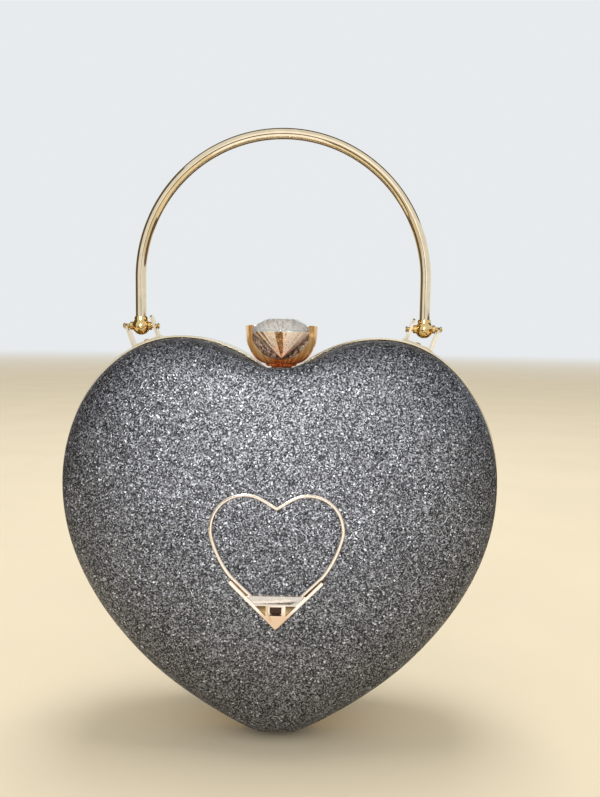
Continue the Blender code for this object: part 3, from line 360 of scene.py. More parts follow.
def smooth_line(points, steps):
    """Hermite curve through points, whose slope at each is half the step between its neighbours."""
    p = np.asarray(points, float)
    slope = np.gradient(p, axis=0)
    t = np.linspace(0, 1, steps, endpoint=False)[None, :, None]
    a, b, u, v = (x[:, None] for x in (p[:-1], p[1:], slope[:-1], slope[1:]))
    line = a * (1 + 2 * t) * (1 - t) ** 2 + u * t * (1 - t) ** 2
    line = line + b * t * t * (3 - 2 * t) + v * t * t * (t - 1)
    return np.concatenate((line.reshape(-1, p.shape[1]), p[-1:]))


def smooth_step(x):
    """0 below 0, 1 above 1 and x^2 (3 - 2x) between."""
    x = np.clip(x, 0, 1)
    return x * x * (3 - 2 * x)


def mitres(path, closed=True):
    """Sideways vectors of a path: they halve the angle between the normals of its two edges,
    and are as long as keeps an offset line parallel to them."""
    step = path - np.roll(path, 1, axis=-2)
    before, after = step.copy(), np.roll(step, -1, axis=-2)
    if not closed:
        before[..., 0, :] = after[..., 0, :]
        after[..., -1, :] = before[..., -1, :]
    first, second = (
        np.stack((x[..., 1], -x[..., 0]), -1) / np.linalg.norm(x, axis=-1, keepdims=True)
        for x in (before, after)
    )
    middle = first + second
    middle /= np.linalg.norm(middle, axis=-1, keepdims=True)
    return middle / (middle * first).sum(-1, keepdims=True)


def in_space(flat, depth):
    """Points (x, z) of a flat line at depth y."""
    depth = np.broadcast_to(depth, flat.shape[:-1])
    return np.stack((flat[..., 0], depth, flat[..., 1]), -1)


def carried(path, section, closed=True):
    """A profile carried along a path: the point of the path, plus its mitre times the profile's
    first number, at the depth of its second."""
    flat = path[:, None] + mitres(path, closed)[:, None] * section[None, :, :1]
    return in_space(flat, section[None, :, 1])


def rounded(section, radius, steps=4):
    """A closed profile whose corners are quadratic Bezier arcs that start a radius before them."""
    p = np.asarray(section, float)
    before, after = np.roll(p, 1, axis=0) - p, np.roll(p, -1, axis=0) - p
    sizes = np.stack([np.linalg.norm(x, axis=1, keepdims=True) for x in (before, after)])
    reach = np.minimum(radius, sizes * 0.45)
    start, end = p + before / sizes[0] * reach[0], p + after / sizes[1] * reach[1]
    t = np.linspace(0, 1, steps + 1)[None, :, None]
    arcs = start[:, None] * (1 - t) ** 2 + 2 * p[:, None] * t * (1 - t) + end[:, None] * t * t
    return arcs.reshape(-1, 2)


def turned(profile, centre, axis="Z", steps=48):
    """A profile of (radius, height) turned about an axis: radius times cosine and sine of the
    angle across it, height along it."""
    angle = np.arange(steps) * 2 * pi / steps
    radius, height = np.asarray(profile, float).T
    across, over = (radius[:, None] * f(angle)[None] for f in (np.cos, np.sin))
    along = np.broadcast_to(height[:, None], across.shape)
    order = {"Z": (across, over, along), "X": (along, across, over)}[axis]
    return np.stack(order, -1) + np.asarray(centre, float)


def quads(rows, columns, looped):
    """Corners of the faces between neighbouring points of a grid whose columns come round again,
    and whose rows do too if looped."""
    index = np.arange(rows * columns).reshape(rows, columns)
    below = np.roll(index, -1, axis=0) if looped else index[1:]
    above = index if looped else index[:-1]
    right = [np.roll(x, -1, axis=1) for x in (above, below)]
    return np.stack((above, right[0], right[1], below), -1).reshape(-1, 4)


def skin(rings, ends=None, looped=False):
    """Points and faces of a closed surface through rings: a looped one comes back to its first
    ring, and any other is closed by a fan of triangles from each end ring to its middle point."""
    rows, columns = rings.shape[:2]
    points = rings.reshape(-1, 3)
    faces = [quads(rows, columns, looped)]
    if not looped:
        ends = (rings[0].mean(0), rings[-1].mean(0)) if ends is None else ends
        points = np.concatenate((points, np.asarray(ends, float)))
        around = np.arange(columns)
        after = np.roll(around, -1)
        last = (rows - 1) * columns
        tops = np.full(columns, rows * columns)
        faces.append(np.stack((after, around, tops), -1))
        faces.append(np.stack((around + last, after + last, tops + 1), -1))
    return points, faces


def joined(*surfaces):
    """Several surfaces as one list of points and one of faces."""
    points, faces, start = [], [], 0
    for some, groups in surfaces:
        points.append(some)
        faces += [group + start for group in groups]
        start += len(some)
    return np.concatenate(points), faces


def mesh_of(name, surface, merge=0.0):
    """A mesh of a surface, its faces outwards."""
    points, groups = surface
    mesh = bpy.data.meshes.new(name)
    mesh.from_pydata(points.tolist(), [], [face for group in groups for face in group.tolist()])
    shape = bmesh.new()
    shape.from_mesh(mesh)
    if merge:
        bmesh.ops.remove_doubles(shape, verts=shape.verts, dist=merge)
        bmesh.ops.dissolve_degenerate(shape, edges=shape.edges, dist=merge)
    bmesh.ops.recalc_face_normals(shape, faces=shape.faces)
    shape.to_mesh(mesh)
    shape.free()
    return mesh


def piece(name, mesh, look, body, replaced, sharp=SHARP):
    """Adds a finished piece that rides on a body and stands for CAD nodes."""
    obj = bpy.data.objects.new(name, mesh)
    bpy.context.scene.collection.objects.link(obj)
    mesh.materials.clear()
    mesh.materials.append(look)
    mesh.shade_smooth()
    mesh.set_sharp_from_angle(angle=sharp)
    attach(obj, body)
    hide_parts(*replaced)
    return obj


def soft_edges(obj, width, segments=2, limit=BEVELLED):
    """A bevel along an object's sharp edges."""
    bevel = obj.modifiers.new("soft_edges", "BEVEL")
    bevel.width = width
    bevel.segments = segments
    bevel.limit_method = "ANGLE"
    bevel.angle_limit = limit
    bevel.harden_normals = True
    return obj


def dressed(node, surface, look, body, merge=0.0):
    """A finished piece from a surface, in place of one CAD node."""
    mesh = mesh_of(node + "_gold", surface, merge)
    return piece(node + "_finished", mesh, look, body, [node])


def softened(node, look, width, sharp=SHARP):
    """A copy of a CAD node with its doubles merged, its flat faces whole and its edges soft."""
    source = frame["nodes"][node]
    mesh = source.data.copy()
    shape = bmesh.new()
    shape.from_mesh(mesh)
    bmesh.ops.remove_doubles(shape, verts=shape.verts, dist=DOUBLES)
    bmesh.ops.dissolve_limit(shape, angle_limit=FLAT, verts=shape.verts, edges=shape.edges)
    shape.to_mesh(mesh)
    shape.free()
    obj = piece(node + "_finished", mesh, look, source["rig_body"], [node], sharp)
    return soft_edges(obj, width)


def worked_out(obj):
    """The mesh of an object with its modifiers done; the object is removed."""
    graph = bpy.context.evaluated_depsgraph_get()
    mesh = bpy.data.meshes.new_from_object(obj.evaluated_get(graph))
    bpy.data.objects.remove(obj)
    return mesh


def carved(surface, *cutters):
    """The mesh of a surface with other closed surfaces cut out of it."""
    made = []
    for i, some in enumerate((surface, *cutters)):
        obj = bpy.data.objects.new(f"carved_{i}", mesh_of(f"carved_{i}", some))
        bpy.context.scene.collection.objects.link(obj)
        made.append(obj)
    for other in made[1:]:
        step = made[0].modifiers.new(other.name, "BOOLEAN")
        step.operation = "DIFFERENCE"
        step.object = other
        step.solver = "EXACT"
    mesh = worked_out(made[0])
    for other in made[1:]:
        bpy.data.objects.remove(other)
    return mesh


def case_outline(fill=0.0):
    """The heart as (x, z) points, one loop for each fill, which raises its cleft by that share.
    Four Beziers make its right half, with two points at the notch's edge, and x is turned round
    for the left one."""
    case = bpy.context.scene.clutch_case
    size = np.array((case.half_width, case.height))
    seat = np.array((SEAT_HALF, case.height - CLEFT_DEPTH))
    foot = np.array((TIP_HALF, 0))
    shoulder, lobe, flank, tip = (
        np.array(rows) * size for rows in (SHOULDER_SHARES, LOBE_SHARES, FLANK_SHARES, TIP_SHARES)
    )
    ends = (seat, *shoulder), (shoulder[-1], *lobe), (lobe[-1], *flank), (flank[-1], *tip, foot)
    first, *others = (bezier(some, steps) for some, steps in zip(ends, OUTLINE_STEPS))
    upper = np.concatenate(([(0, seat[1]), (SLOT_HALF, seat[1])], first))
    lower = np.concatenate((*others, [foot]))
    near = lower[-NEAR_TIP:]
    beside = NOTCH_HALF + np.array((BESIDE_NOTCH, -BESIDE_NOTCH))
    at_notch = np.stack((beside, np.interp(beside, near[::-1, 0], near[::-1, 1])), -1)
    near = np.concatenate((near, at_notch))
    lower = np.concatenate((lower[:-NEAR_TIP], near[np.argsort(-near[:, 0])]))
    fill = np.atleast_1d(fill)[:, None]
    raised = upper[None, :, 1] + fill * (case.height - upper[None, :, 1])
    upper = np.stack((np.broadcast_to(upper[:, 0], raised.shape), raised), -1)
    lower = np.broadcast_to(lower, (len(upper), *lower.shape))
    half = np.concatenate((upper, lower), 1)
    end = np.zeros((len(half), 1, 2))
    other = half[:, :0:-1] * (-1, 1)
    return np.concatenate((half, end, other), 1)


def inset(loops, distance):
    """Loops moved inwards along their mitres."""
    return loops + mitres(loops) * distance


def dome(half, distance, crown, steps, fade, pucker=0.0):
    """Rings of a domed skin and its pole: the outline shrinks as cos(a)^(2/p) while the depth
    grows as sin(a)^(2/p), evenly spaced along that arc, and the cleft runs out on the way.
    Puckers draw the skin in by two waves along the outline, 61 and 97 to its length, which swell
    from the edge and fade before the crown."""
    case = bpy.context.scene.clutch_case
    side = SIDES[half]
    angle = np.linspace(0, pi / 2, ARC_SAMPLES)
    size, rise = (np.clip(f(angle), 0, 1) ** (2 / DOME_POWER) for f in (np.cos, np.sin))
    arc = np.hypot(np.diff(size) * case.half_width, np.diff(rise) * (crown - SKIN_START))
    arc = np.concatenate(((0,), np.cumsum(arc)))
    even = np.linspace(0, arc[-1], steps, endpoint=False)
    angle, size, rise = (np.interp(even, arc, x) for x in (angle, size, rise))
    low, high = np.radians(fade)
    loops = inset(case_outline(smooth_step((angle - low) / (high - low))), distance)
    centre = np.array((0, case.height * DOME_CENTRE_SHARE))
    along = np.arange(loops.shape[1]) * 2 * pi / loops.shape[1]
    wave = 0.5 + 0.3 * np.sin(61 * along) + 0.2 * np.sin(97 * along + 2 * np.sin(5 * along))
    swell = np.sin(np.clip(even / arc[-1] * 1.6, 0, 1) * pi) ** 1.5
    draw = 1 - pucker * wave * swell[:, None]
    flat = centre + (loops - centre) * (size[:, None] * draw)[..., None]
    depth = SKIN_START + (crown - SKIN_START) * rise[:, None] * draw
    pole = (0, side * (depth[-1].mean() if pucker else crown), centre[1])
    return in_space(flat, side * depth), pole


def dome_skin(half, distance, crown, wall, steps, fade, pucker=0.0):
    """An outer and an inner dome, joined at their edges and closed at their poles."""
    outer, top = dome(half, distance, crown, steps, fade, pucker)
    inner, bottom = dome(half, distance + wall, crown - wall, steps // 2, fade, pucker)
    return skin(np.concatenate((outer[::-1], inner)), (top, bottom))


# Materials


def tinted(tone, *factors, most=1.0):
    """A colour times one factor, or times one for each channel, and none above the most."""
    if len(factors) == 1:
        factors *= 3
    return tuple(min(most, channel * factor) for channel, factor in zip(tone, factors))


class Value:
    """A socket whose arithmetic adds Math nodes to its tree."""

    def __init__(self, nodes, socket):
        self.nodes = nodes
        self.socket = socket

    def __add__(self, other):
        return self.nodes.maths("ADD", self, other)

    def __radd__(self, other):
        return self.nodes.maths("ADD", other, self)

    def __sub__(self, other):
        return self.nodes.maths("SUBTRACT", self, other)

    def __rsub__(self, other):
        return self.nodes.maths("SUBTRACT", other, self)

    def __mul__(self, other):
        return self.nodes.maths("MULTIPLY", self, other)

    def __rmul__(self, other):
        return self.nodes.maths("MULTIPLY", other, self)

    def __gt__(self, other):
        return self.nodes.maths("GREATER_THAN", self, other)


class Nodes:
    """The node tree of a material or the world, with constants set on its own shader."""

    def __init__(self, owner, shader, **constants):
        owner.use_nodes = True
        self.tree = owner.node_tree
        self.shader = self.tree.nodes[shader]
        for key, value in constants.items():
            self.feed(self.shader.inputs[key.replace("_", " ")], value)

    def node(self, kind, settings=None, values=None, output=0):
        """Adds a node, with its settings first and then the values or links of its sockets."""
        made = self.tree.nodes.new(kind)
        for key, value in (settings or {}).items():
            if key == "stops":
                elements = made.color_ramp.elements
                while len(elements) < len(value):
                    elements.new(1)
                for element, (place, shade) in zip(elements, value):
                    element.position = place
                    element.color = (*shade, 1)
            else:
                setattr(made, key, value)
        for key, value in (values or {}).items():
            self.feed(made.inputs[key], value)
        return Value(self, made.outputs[output])

    def feed(self, socket, value):
        """Links a value to a socket, or sets the socket to a number, vector or colour."""
        if isinstance(value, Value):
            self.tree.links.new(value.socket, socket)
        elif socket.type == "RGBA" and len(value) == 3:
            socket.default_value = (*value, 1)
        else:
            socket.default_value = value

    def maths(self, operation, *values):
        """A Math node."""
        return self.node("ShaderNodeMath", {"operation": operation}, dict(enumerate(values)))

    def fade(self, factor, other, output):
        """Lets a factor turn the tree's own shader into another one at the tree's output."""
        own = Value(self, self.shader.outputs[0])
        mixed = self.node("ShaderNodeMixShader", None, {0: factor, 1: own, 2: other})
        self.feed(self.tree.nodes[output].inputs["Surface"], mixed)


class Look(Nodes):
    """A material under construction."""

    def __init__(self, name, **constants):
        self.material = bpy.data.materials.new(name)
        super().__init__(self.material, "Principled BSDF", **constants)
        self.place = self.node("ShaderNodeTexCoord", output="Object")

    def vectors(self, operation, *values, output=0):
        """A Vector Math node."""
        values = dict(enumerate(values))
        return self.node("ShaderNodeVectorMath", {"operation": operation}, values, output)

    def part(self, vector, axis):
        """One of a vector's three numbers."""
        return self.node("ShaderNodeSeparateXYZ", None, {0: vector}, axis)

    def facing(self):
        """The direction in which a face points."""
        return self.node("ShaderNodeNewGeometry", output="Normal")

    def noise(self, scale, detail=3.0, rough=0.5, place=None, **more):
        """Cloudy noise, so many features to a metre."""
        values = {"Vector": place or self.place, "Scale": scale, "Detail": detail}
        return self.node("ShaderNodeTexNoise", None, {**values, "Roughness": rough, **more})

    def cells(self, scale):
        """A random colour for each Voronoi cell, so many cells to a metre."""
        values = {"Vector": self.place, "Scale": scale}
        return self.node("ShaderNodeTexVoronoi", None, values, "Color")

    def chance(self, number):
        """A random number from 0 to 1 for each number."""
        return self.node("ShaderNodeTexWhiteNoise", {"noise_dimensions": "1D"}, {"W": number})

    def ramp(self, factor, *stops):
        """A colour from stops, each a place from 0 to 1 and its colour."""
        return self.node("ShaderNodeValToRGB", {"stops": stops}, {0: factor})

    def mix(self, factor, first, second, blend="MIX"):
        """A mix of two colours."""
        settings = {"data_type": "RGBA", "blend_type": blend}
        return self.node("ShaderNodeMix", settings, {0: factor, 6: first, 7: second}, 2)

    def between(self, value, low, high, start=0.0, end=1.0):
        """The value's way from low to high, clamped, as a number from start to end."""
        values = {0: value, 1: low, 2: high, 3: start, 4: end}
        return self.node("ShaderNodeMapRange", {"interpolation_type": "SMOOTHSTEP"}, values)

    def bump(self, height, distance, strength=1.0):
        """A surface that rises with a height, by a distance in metres for each 1."""
        values = {"Height": height, "Distance": distance, "Strength": strength}
        return self.node("ShaderNodeBump", None, values)

    def finish(self, **links):
        """The material, its shader fed with what changes over the surface."""
        for key, value in links.items():
            self.feed(self.shader.inputs[key.replace("_", " ").title()], value)
        return self.material


def glitter_look(name):
    """Glued flakes: each Voronoi cell has its own shade, gloss and lean, and a few are bright."""
    case = bpy.context.scene.clutch_case
    look = Look(name, Roughness=0.4)
    flake = look.cells(1 / case.flake)
    red, green, blue = (look.part(flake, i) for i in range(3))
    shade, gloss = (look.maths("FRACT", (red + green + blue) * x) for x in (7.31, 17.9))
    bright = look.part(look.cells(1 / case.spark), 0) > 0.98
    cloud = look.noise(38, 4, 0.6)
    fine = look.noise(900, 2, 0.6)
    height = look.part(look.place, 2)
    tone = look.ramp(
        look.between(shade + (cloud - 0.5) * 0.25 + (fine - 0.5) * 0.3, 0.0, 1.0),
        (0.0, case.dark),
        (0.55, case.middle),
        (1.0, case.light),
    )
    # Painted reflection of the warm floor: the flakes are tinted warmer from 90 mm down to the tip.
    warm = look.mix(look.between(height, 0.09, 0.0), (1.0, 1.0, 1.0), (1.0, 0.97, 0.90))
    tone = look.mix(1.0, tone, warm, "MULTIPLY")
    tone = look.mix(bright, tone, (0.46, 0.48, 0.52))
    lean = look.vectors("SUBTRACT", flake, (0.5, 0.5, 0.5))
    lean = look.vectors("MULTIPLY", lean, [case.tilt * 2] * 3)
    facing = look.vectors("NORMALIZE", look.vectors("ADD", look.facing(), lean))
    return look.finish(
        base_color=tone,
        metallic=look.between(gloss, 0.1, 0.8, 0.55, 1.0),
        roughness=look.between(gloss, 0.0, 1.0, 0.58, 0.44),
        normal=facing,
    )


def satin_look(name):
    """Warp-faced satin: fine threads along the height, crossed by faint floats and soft creases."""
    case = bpy.context.scene.clutch_case
    look = Look(name, Roughness=0.4, Sheen_Weight=0.6, Sheen_Roughness=0.35, Anisotropic=0.5)
    x, y, z = (look.part(look.place, i) for i in range(3))
    warp = look.maths("SINE", (x + y) * (2 * pi / 0.00028))
    weft = look.maths("SINE", z * (2 * pi / 0.00062) + warp * 0.6)
    threads = warp * 0.6 + weft * 0.4
    crease = look.noise(70, 3, 0.55, Distortion=0.8)
    # Painted shade and sheen: the colour follows the crease height that also bumps the surface,
    # darker in the hollows and lighter on the ridges; the thread lines are the weave's own.
    tone = look.mix(
        look.between(threads * 0.25 + crease, 0.2, 0.9),
        tinted(case.satin, 0.7),
        tinted(case.satin, 1.9),
    )
    height = threads * 0.00003 + crease * 0.0009
    return look.finish(
        base_color=tone,
        roughness=look.between(crease, 0.25, 0.75, 0.32, 0.5),
        normal=look.bump(height, 1.0, 0.8),
    )


def board_look(name):
    """Pressed fibre board, mottled and slightly rough."""
    case = bpy.context.scene.clutch_case
    look = Look(name, Roughness=0.7)
    fibre = look.noise(900, 5, 0.65, Distortion=1.5)
    patch = look.noise(60, 3)
    tone = look.mix(
        look.between(fibre * 0.7 + patch * 0.3, 0.3, 0.7),
        tinted(case.board, 0.6),
        tinted(case.board, 1.7),
    )
    return look.finish(
        base_color=tone,
        roughness=look.between(fibre, 0.3, 0.7, 0.55, 0.85),
        normal=look.bump(fibre, 0.00012),
    )


def metal_look(name, tone, rough=0.12, brushed=0.0, waves=0.0):
    """Plated metal: smudges change its gloss and tint, hair-fine scratches its surface, and a cast
    one is slightly wavy."""
    look = Look(name, Metallic=1.0)
    smudge = look.noise(160, 4, 0.6, Distortion=0.6)
    cloud = look.noise(420, 3, 0.5)
    stretched = look.vectors("MULTIPLY", look.place, (260.0, 260.0, 2400.0))
    hair = look.noise(1.0, 2, 0.6, place=stretched)
    tint = look.mix(
        look.between(smudge * 0.6 + cloud * 0.4, 0.3, 0.75),
        tinted(tone, 0.90),
        tinted(tone, 1.06),
    )
    height = hair * brushed + cloud * 0.1 + smudge * waves
    return look.finish(
        base_color=tint,
        roughness=look.between(smudge * 0.7 + hair * 0.3, 0.25, 0.8, rough * 0.7, rough * 1.5),
        normal=look.bump(height, 0.000001 * (1 + 19 * brushed)),
    )


def crystal_look(name):
    """Clear cut glass, its polish slightly uneven."""
    clasp = bpy.context.scene.clutch_clasp
    look = Look(name, Transmission_Weight=0.72, IOR=1.60, Coat_Weight=0.3, Coat_Roughness=0.02)
    veil = look.noise(700, 3, 0.6)
    tone = look.mix(look.between(veil, 0.3, 0.8), clasp.glass, tinted(clasp.glass, 0.94))
    return look.finish(base_color=tone, roughness=look.between(veil, 0.4, 0.9, 0.0, 0.03))


def around_clasp(look):
    """Offsets from the cup's axis, and the turn about it in radians."""
    place = look.vectors("SUBTRACT", look.place, (0.0, CUP_CENTRE, 0.0))
    x, y = (look.part(place, i) for i in range(2))
    return x, y, look.maths("ARCTAN2", y, x)


def foil_look(name):
    """The mirror foil under the crystal, its colour painted reflections: each facet and fine
    stripes across it get their own champagne, amber or brown, over a fine speckle.
    """
    look = Look(name, Metallic=0.35, Roughness=0.25, Coat_Weight=0.6, Coat_Roughness=0.05)
    x, y, turn = around_clasp(look)
    number = look.maths("FLOOR", turn * (FACETS / (2 * pi)) + 0.5)
    middle = number * (2 * pi / FACETS)
    across = y * look.maths("COSINE", middle) - x * look.maths("SINE", middle)
    # Painted reflections: the shade of each facet and of the stripes within it stands in for what
    # the cut crystal reflects.
    facet_reflection = look.chance(number + 3.7)
    stripe_reflection = look.chance(look.maths("FLOOR", across * 1100) + number * 17.3)
    speck = look.part(look.cells(2400), 0)
    shade = facet_reflection * 0.60 + stripe_reflection * 0.60 + speck * 0.45 - 0.15
    grain = look.noise(2600, 2, 0.6)
    tone = look.ramp(
        look.between(shade + (grain - 0.5) * 0.35, 0.0, 1.0),
        (0.0, (0.12, 0.06, 0.03)),
        (0.3, (0.48, 0.27, 0.10)),
        (0.5, (0.92, 0.68, 0.34)),
        (0.7, (1.0, 0.88, 0.74)),
    )
    return look.finish(
        base_color=tone,
        roughness=look.between(grain, 0.3, 0.7, 0.18, 0.4),
        normal=look.bump(grain, 0.00002, 0.5),
    )


def cup_look(name):
    """Rose gold, polished outside and speckled like a rough casting inside the hollow, with painted
    light in its colour: outside, painted shade in dark red-brown at the foot runs to a painted
    highlight near the lip, crossed by vertical stripes of painted reflection; inside, painted shade
    deepens lower in the hollow and the speckles carry painted glints.
    """
    tone = bpy.context.scene.clutch_metal.rose
    look = Look(name)
    x, y, turn = around_clasp(look)
    facing = look.facing()
    inward = look.part(facing, 0) * x + look.part(facing, 1) * y
    inside = look.between(inward, 0.0, -0.002)
    smudge = look.noise(170, 4, 0.6, Distortion=0.6)
    speckle_glint = look.part(look.cells(1500), 0)
    rise = look.part(look.place, 2) + (smudge - 0.5) * 0.004
    seat = bpy.context.scene.clutch_case.height - CLEFT_DEPTH
    # Painted reflection: vertical stripes round the cup, each its own shade, which tint the outside
    # and move its shade line.
    reflection_streak = look.chance(look.maths("FLOOR", turn * 13))
    painted_light_height = look.between(rise + reflection_streak * 0.003, seat + 0.001, seat + 0.012)
    # Painted shade and highlight: dark red-brown at the foot, pale towards the lip.
    outer = look.ramp(
        painted_light_height,
        (0.0, tinted(tone, 0.30, 0.10, 0.06)),
        (0.12, tinted(tone, 0.90, 0.32, 0.14)),
        (0.4, tinted(tone, 1.0, 0.80, 0.42)),
        (0.65, tinted(tone, 1.05, 1.10, 0.80)),
        (1.0, tinted(tone, 1.10, 1.22, 0.95)),
    )
    # Painted shade, darker deeper in the hollow, with painted glints on the speckles.
    inner = look.ramp(
        look.between(rise, seat + 0.003, seat + 0.011, -0.15, 0.25) + speckle_glint * 0.8,
        (0.2, (0.05, 0.025, 0.012)),
        (0.5, (0.38, 0.24, 0.16)),
        (0.85, (1.0, 0.90, 0.80)),
    )
    reflection_streak_tint = look.mix(reflection_streak, (0.80, 0.52, 0.26), (1.0, 1.0, 0.96))
    outer = look.mix(1.0, outer, reflection_streak_tint, "MULTIPLY")
    height = smudge * 0.3 + inside * speckle_glint * 12
    return look.finish(
        base_color=look.mix(inside, outer, inner),
        metallic=1 - look.maths("MAXIMUM", inside * 0.75, 0.45 - painted_light_height * 0.1),
        roughness=look.between(smudge, 0.3, 0.8, 0.06, 0.15) + inside * 0.30,
        normal=look.bump(height, 0.000006),
    )


def clip_look(name):
    """Polished gold with painted light: painted shade in its pockets, darkest under the bevel, a
    near-black painted shadow in the slit, and a painted reflection of the warm floor on its lower
    face.
    """
    case = bpy.context.scene.clutch_case
    tone = bpy.context.scene.clutch_metal.ring
    look = Look(name, Metallic=1.0)
    smudge = look.noise(240, 4, 0.6, Distortion=0.8)
    depth = look.part(look.place, 1) + (case.front_crown + CLEARANCE + CLIP_THICKNESS)
    facing = look.facing()
    flat = look.between(look.part(facing, 2), 0.2, 0.1)
    below = look.part(look.place, 2) + (CLIP_BEVEL_LOW - case.height * DOME_CENTRE_SHARE)
    # Painted shade: the faces of the pockets below the bevel.
    shaded_pocket = look.between(depth, 0.0004, 0.0008) * look.between(below, 0.0, -0.0003) * flat
    front = look.between(look.part(facing, 1), -0.2, -0.5)
    # Darkest right under the bevel's edge, as painted shadow.
    shade = look.ramp(
        look.between(below + (smudge - 0.5) * 0.002, -0.004, 0.0),
        (0.0, (0.62, 0.46, 0.20)),
        (1.0, (0.13, 0.07, 0.035)),
    )
    # Painted shadow: the slit, near black.
    slit_shadow = look.between(depth, 0.0010, 0.0013) * look.between(below, 0.0, -0.0003)
    tint = look.mix(look.between(smudge, 0.3, 0.75), tinted(tone, 0.92), tinted(tone, 1.05))
    # Painted reflection of the warm floor on the lower face.
    foot = look.between(below + (smudge - 0.5) * 0.002, -0.001, -0.005)
    tint = look.mix(foot * front, tint, (0.70, 0.49, 0.31))
    tint = look.mix(shaded_pocket * front, tint, shade)
    return look.finish(
        base_color=look.mix(slit_shadow * front, tint, (0.07, 0.04, 0.03)),
        roughness=look.between(smudge, 0.3, 0.8, 0.08, 0.2) + shaded_pocket * 0.15,
        normal=look.bump(smudge, 0.00002),
    )


def metals():
    """The metal finishes by name, made once."""
    metal = bpy.context.scene.clutch_metal
    wanted = {
        "polished_rim": (metal.pale, 0.12),
        "polished_rod": (metal.handle, 0.07),
        "polished_ball": (metal.warm, 0.08),
        "cast_ring": (metal.ring, 0.12, 0.0, 120.0),
        "fitting_gold": (metal.handle, 0.16, 0.3),
        # Dark copper for the clasp's base and tongue, a painted shadow under the cup.
        "copper": (tinted(metal.rose, 0.60, 0.36, 0.26), 0.16, 0.3),
        "fitting_steel": (metal.steel, 0.30, 1.0),
    }
    for name, (tone, *finish) in wanted.items():
        if name not in bpy.data.materials:
            metal_look(name, tone, *finish)
    return bpy.data.materials


# Operators


class CaseSkins(Operator):
    """Glitter fabric, hard shell and satin lining of both halves."""

    bl_idname = "clutch.skins"
    bl_label = "Case skins"

    def execute(self, context):
        case = context.scene.clutch_case
        looks = glitter_look("glitter"), board_look("pressed_board"), satin_look("satin")
        for half in SIDES:
            crown = case.back_crown if half == "back" else case.front_crown
            for look, (name, node, slot, distance, sink, wall, steps, pucker) in zip(looks, LAYERS):
                fade = LINING_FADE if name == "satin" else CLEFT_FADE[half]
                surface = dome_skin(half, distance, crown - sink, wall, steps, fade, pucker)
                name, node = f"{half}_{name}", f"{half}_{node}"
                piece(name, mesh_of(name, surface), look, f"{half}_half", [node], SHARP_SKIN)
        return {"FINISHED"}


class Rims(Operator):
    """The two metal rims, with the hinge's notch and the slot of the catch."""

    bl_idname = "clutch.rims"
    bl_label = "Rims"

    def execute(self, context):
        high = RIM_DEPTH - FLANGE_SINK
        low = high - FLANGE_THICKNESS
        first, last = SLOT_ENDS
        section = rounded(
            (
                (0, HALF_GAP), (0, first), (0, last), (0, RIM_DEPTH), (RIM_WALL, RIM_DEPTH),
                (RIM_WALL, high), (FLANGE_WIDTH, high), (FLANGE_WIDTH, low), (RIM_WALL, low),
                (RIM_WALL, last), (RIM_WALL, first), (RIM_WALL, HALF_GAP),
            ),
            RIM_ROUNDING,
        )
        path = case_outline()[0]
        notched = (abs(path[:, 0]) < NOTCH_HALF) & (path[:, 1] < NOTCH_TOP)
        for half, side in SIDES.items():
            rings = carried(path, section)
            depth = rings[..., 1]
            rings[..., 1] = side * np.where(notched[:, None], np.maximum(depth, NOTCH_DEPTH), depth)
            surface = skin(rings, looped=True)
            if half == "front":
                surface = self.slotted(surface)
            look = metals()["polished_rim"]
            dressed(f"{half}_rim", surface, look, f"{half}_half", DOUBLES)
        return {"FINISHED"}

    def slotted(self, surface):
        """The rim without the faces over its slot, and with the slot's four walls instead: each
        edge left open above is joined with the nearest one below, turned to face it."""
        points, (faces,) = surface
        middle = points[faces].mean(1)
        inside = (abs(middle[:, 0]) < SLOT_HALF) & (middle[:, 2] > SLOT_ABOVE)
        depth = abs(middle[:, 1])
        over = inside & (depth > SLOT_ENDS[0]) & (depth < SLOT_ENDS[1])
        faces = faces[~over]
        edges = np.sort(np.stack((faces, np.roll(faces, -1, axis=1)), -1).reshape(-1, 2), axis=1)
        single, count = np.unique(edges, axis=0, return_counts=True)
        rim = single[count == 1]
        high = points[rim][..., 2].min(1) > points[rim][..., 2].mean()
        upper, lower = rim[high], rim[~high]
        centre = [points[x].mean(1)[:, :2] for x in (upper, lower)]
        match = ((centre[0][:, None] - centre[1][None]) ** 2).sum(-1).argmin(1)
        lower = lower[match]
        across = ((points[upper[:, 0]] - points[lower[:, 0]])[:, :2] ** 2).sum(1)
        crossed = ((points[upper[:, 0]] - points[lower[:, 1]])[:, :2] ** 2).sum(1)
        lower = np.where((across > crossed)[:, None], lower[:, ::-1], lower)
        walls = np.concatenate((upper, lower[:, ::-1]), 1)
        return points, [faces, walls]


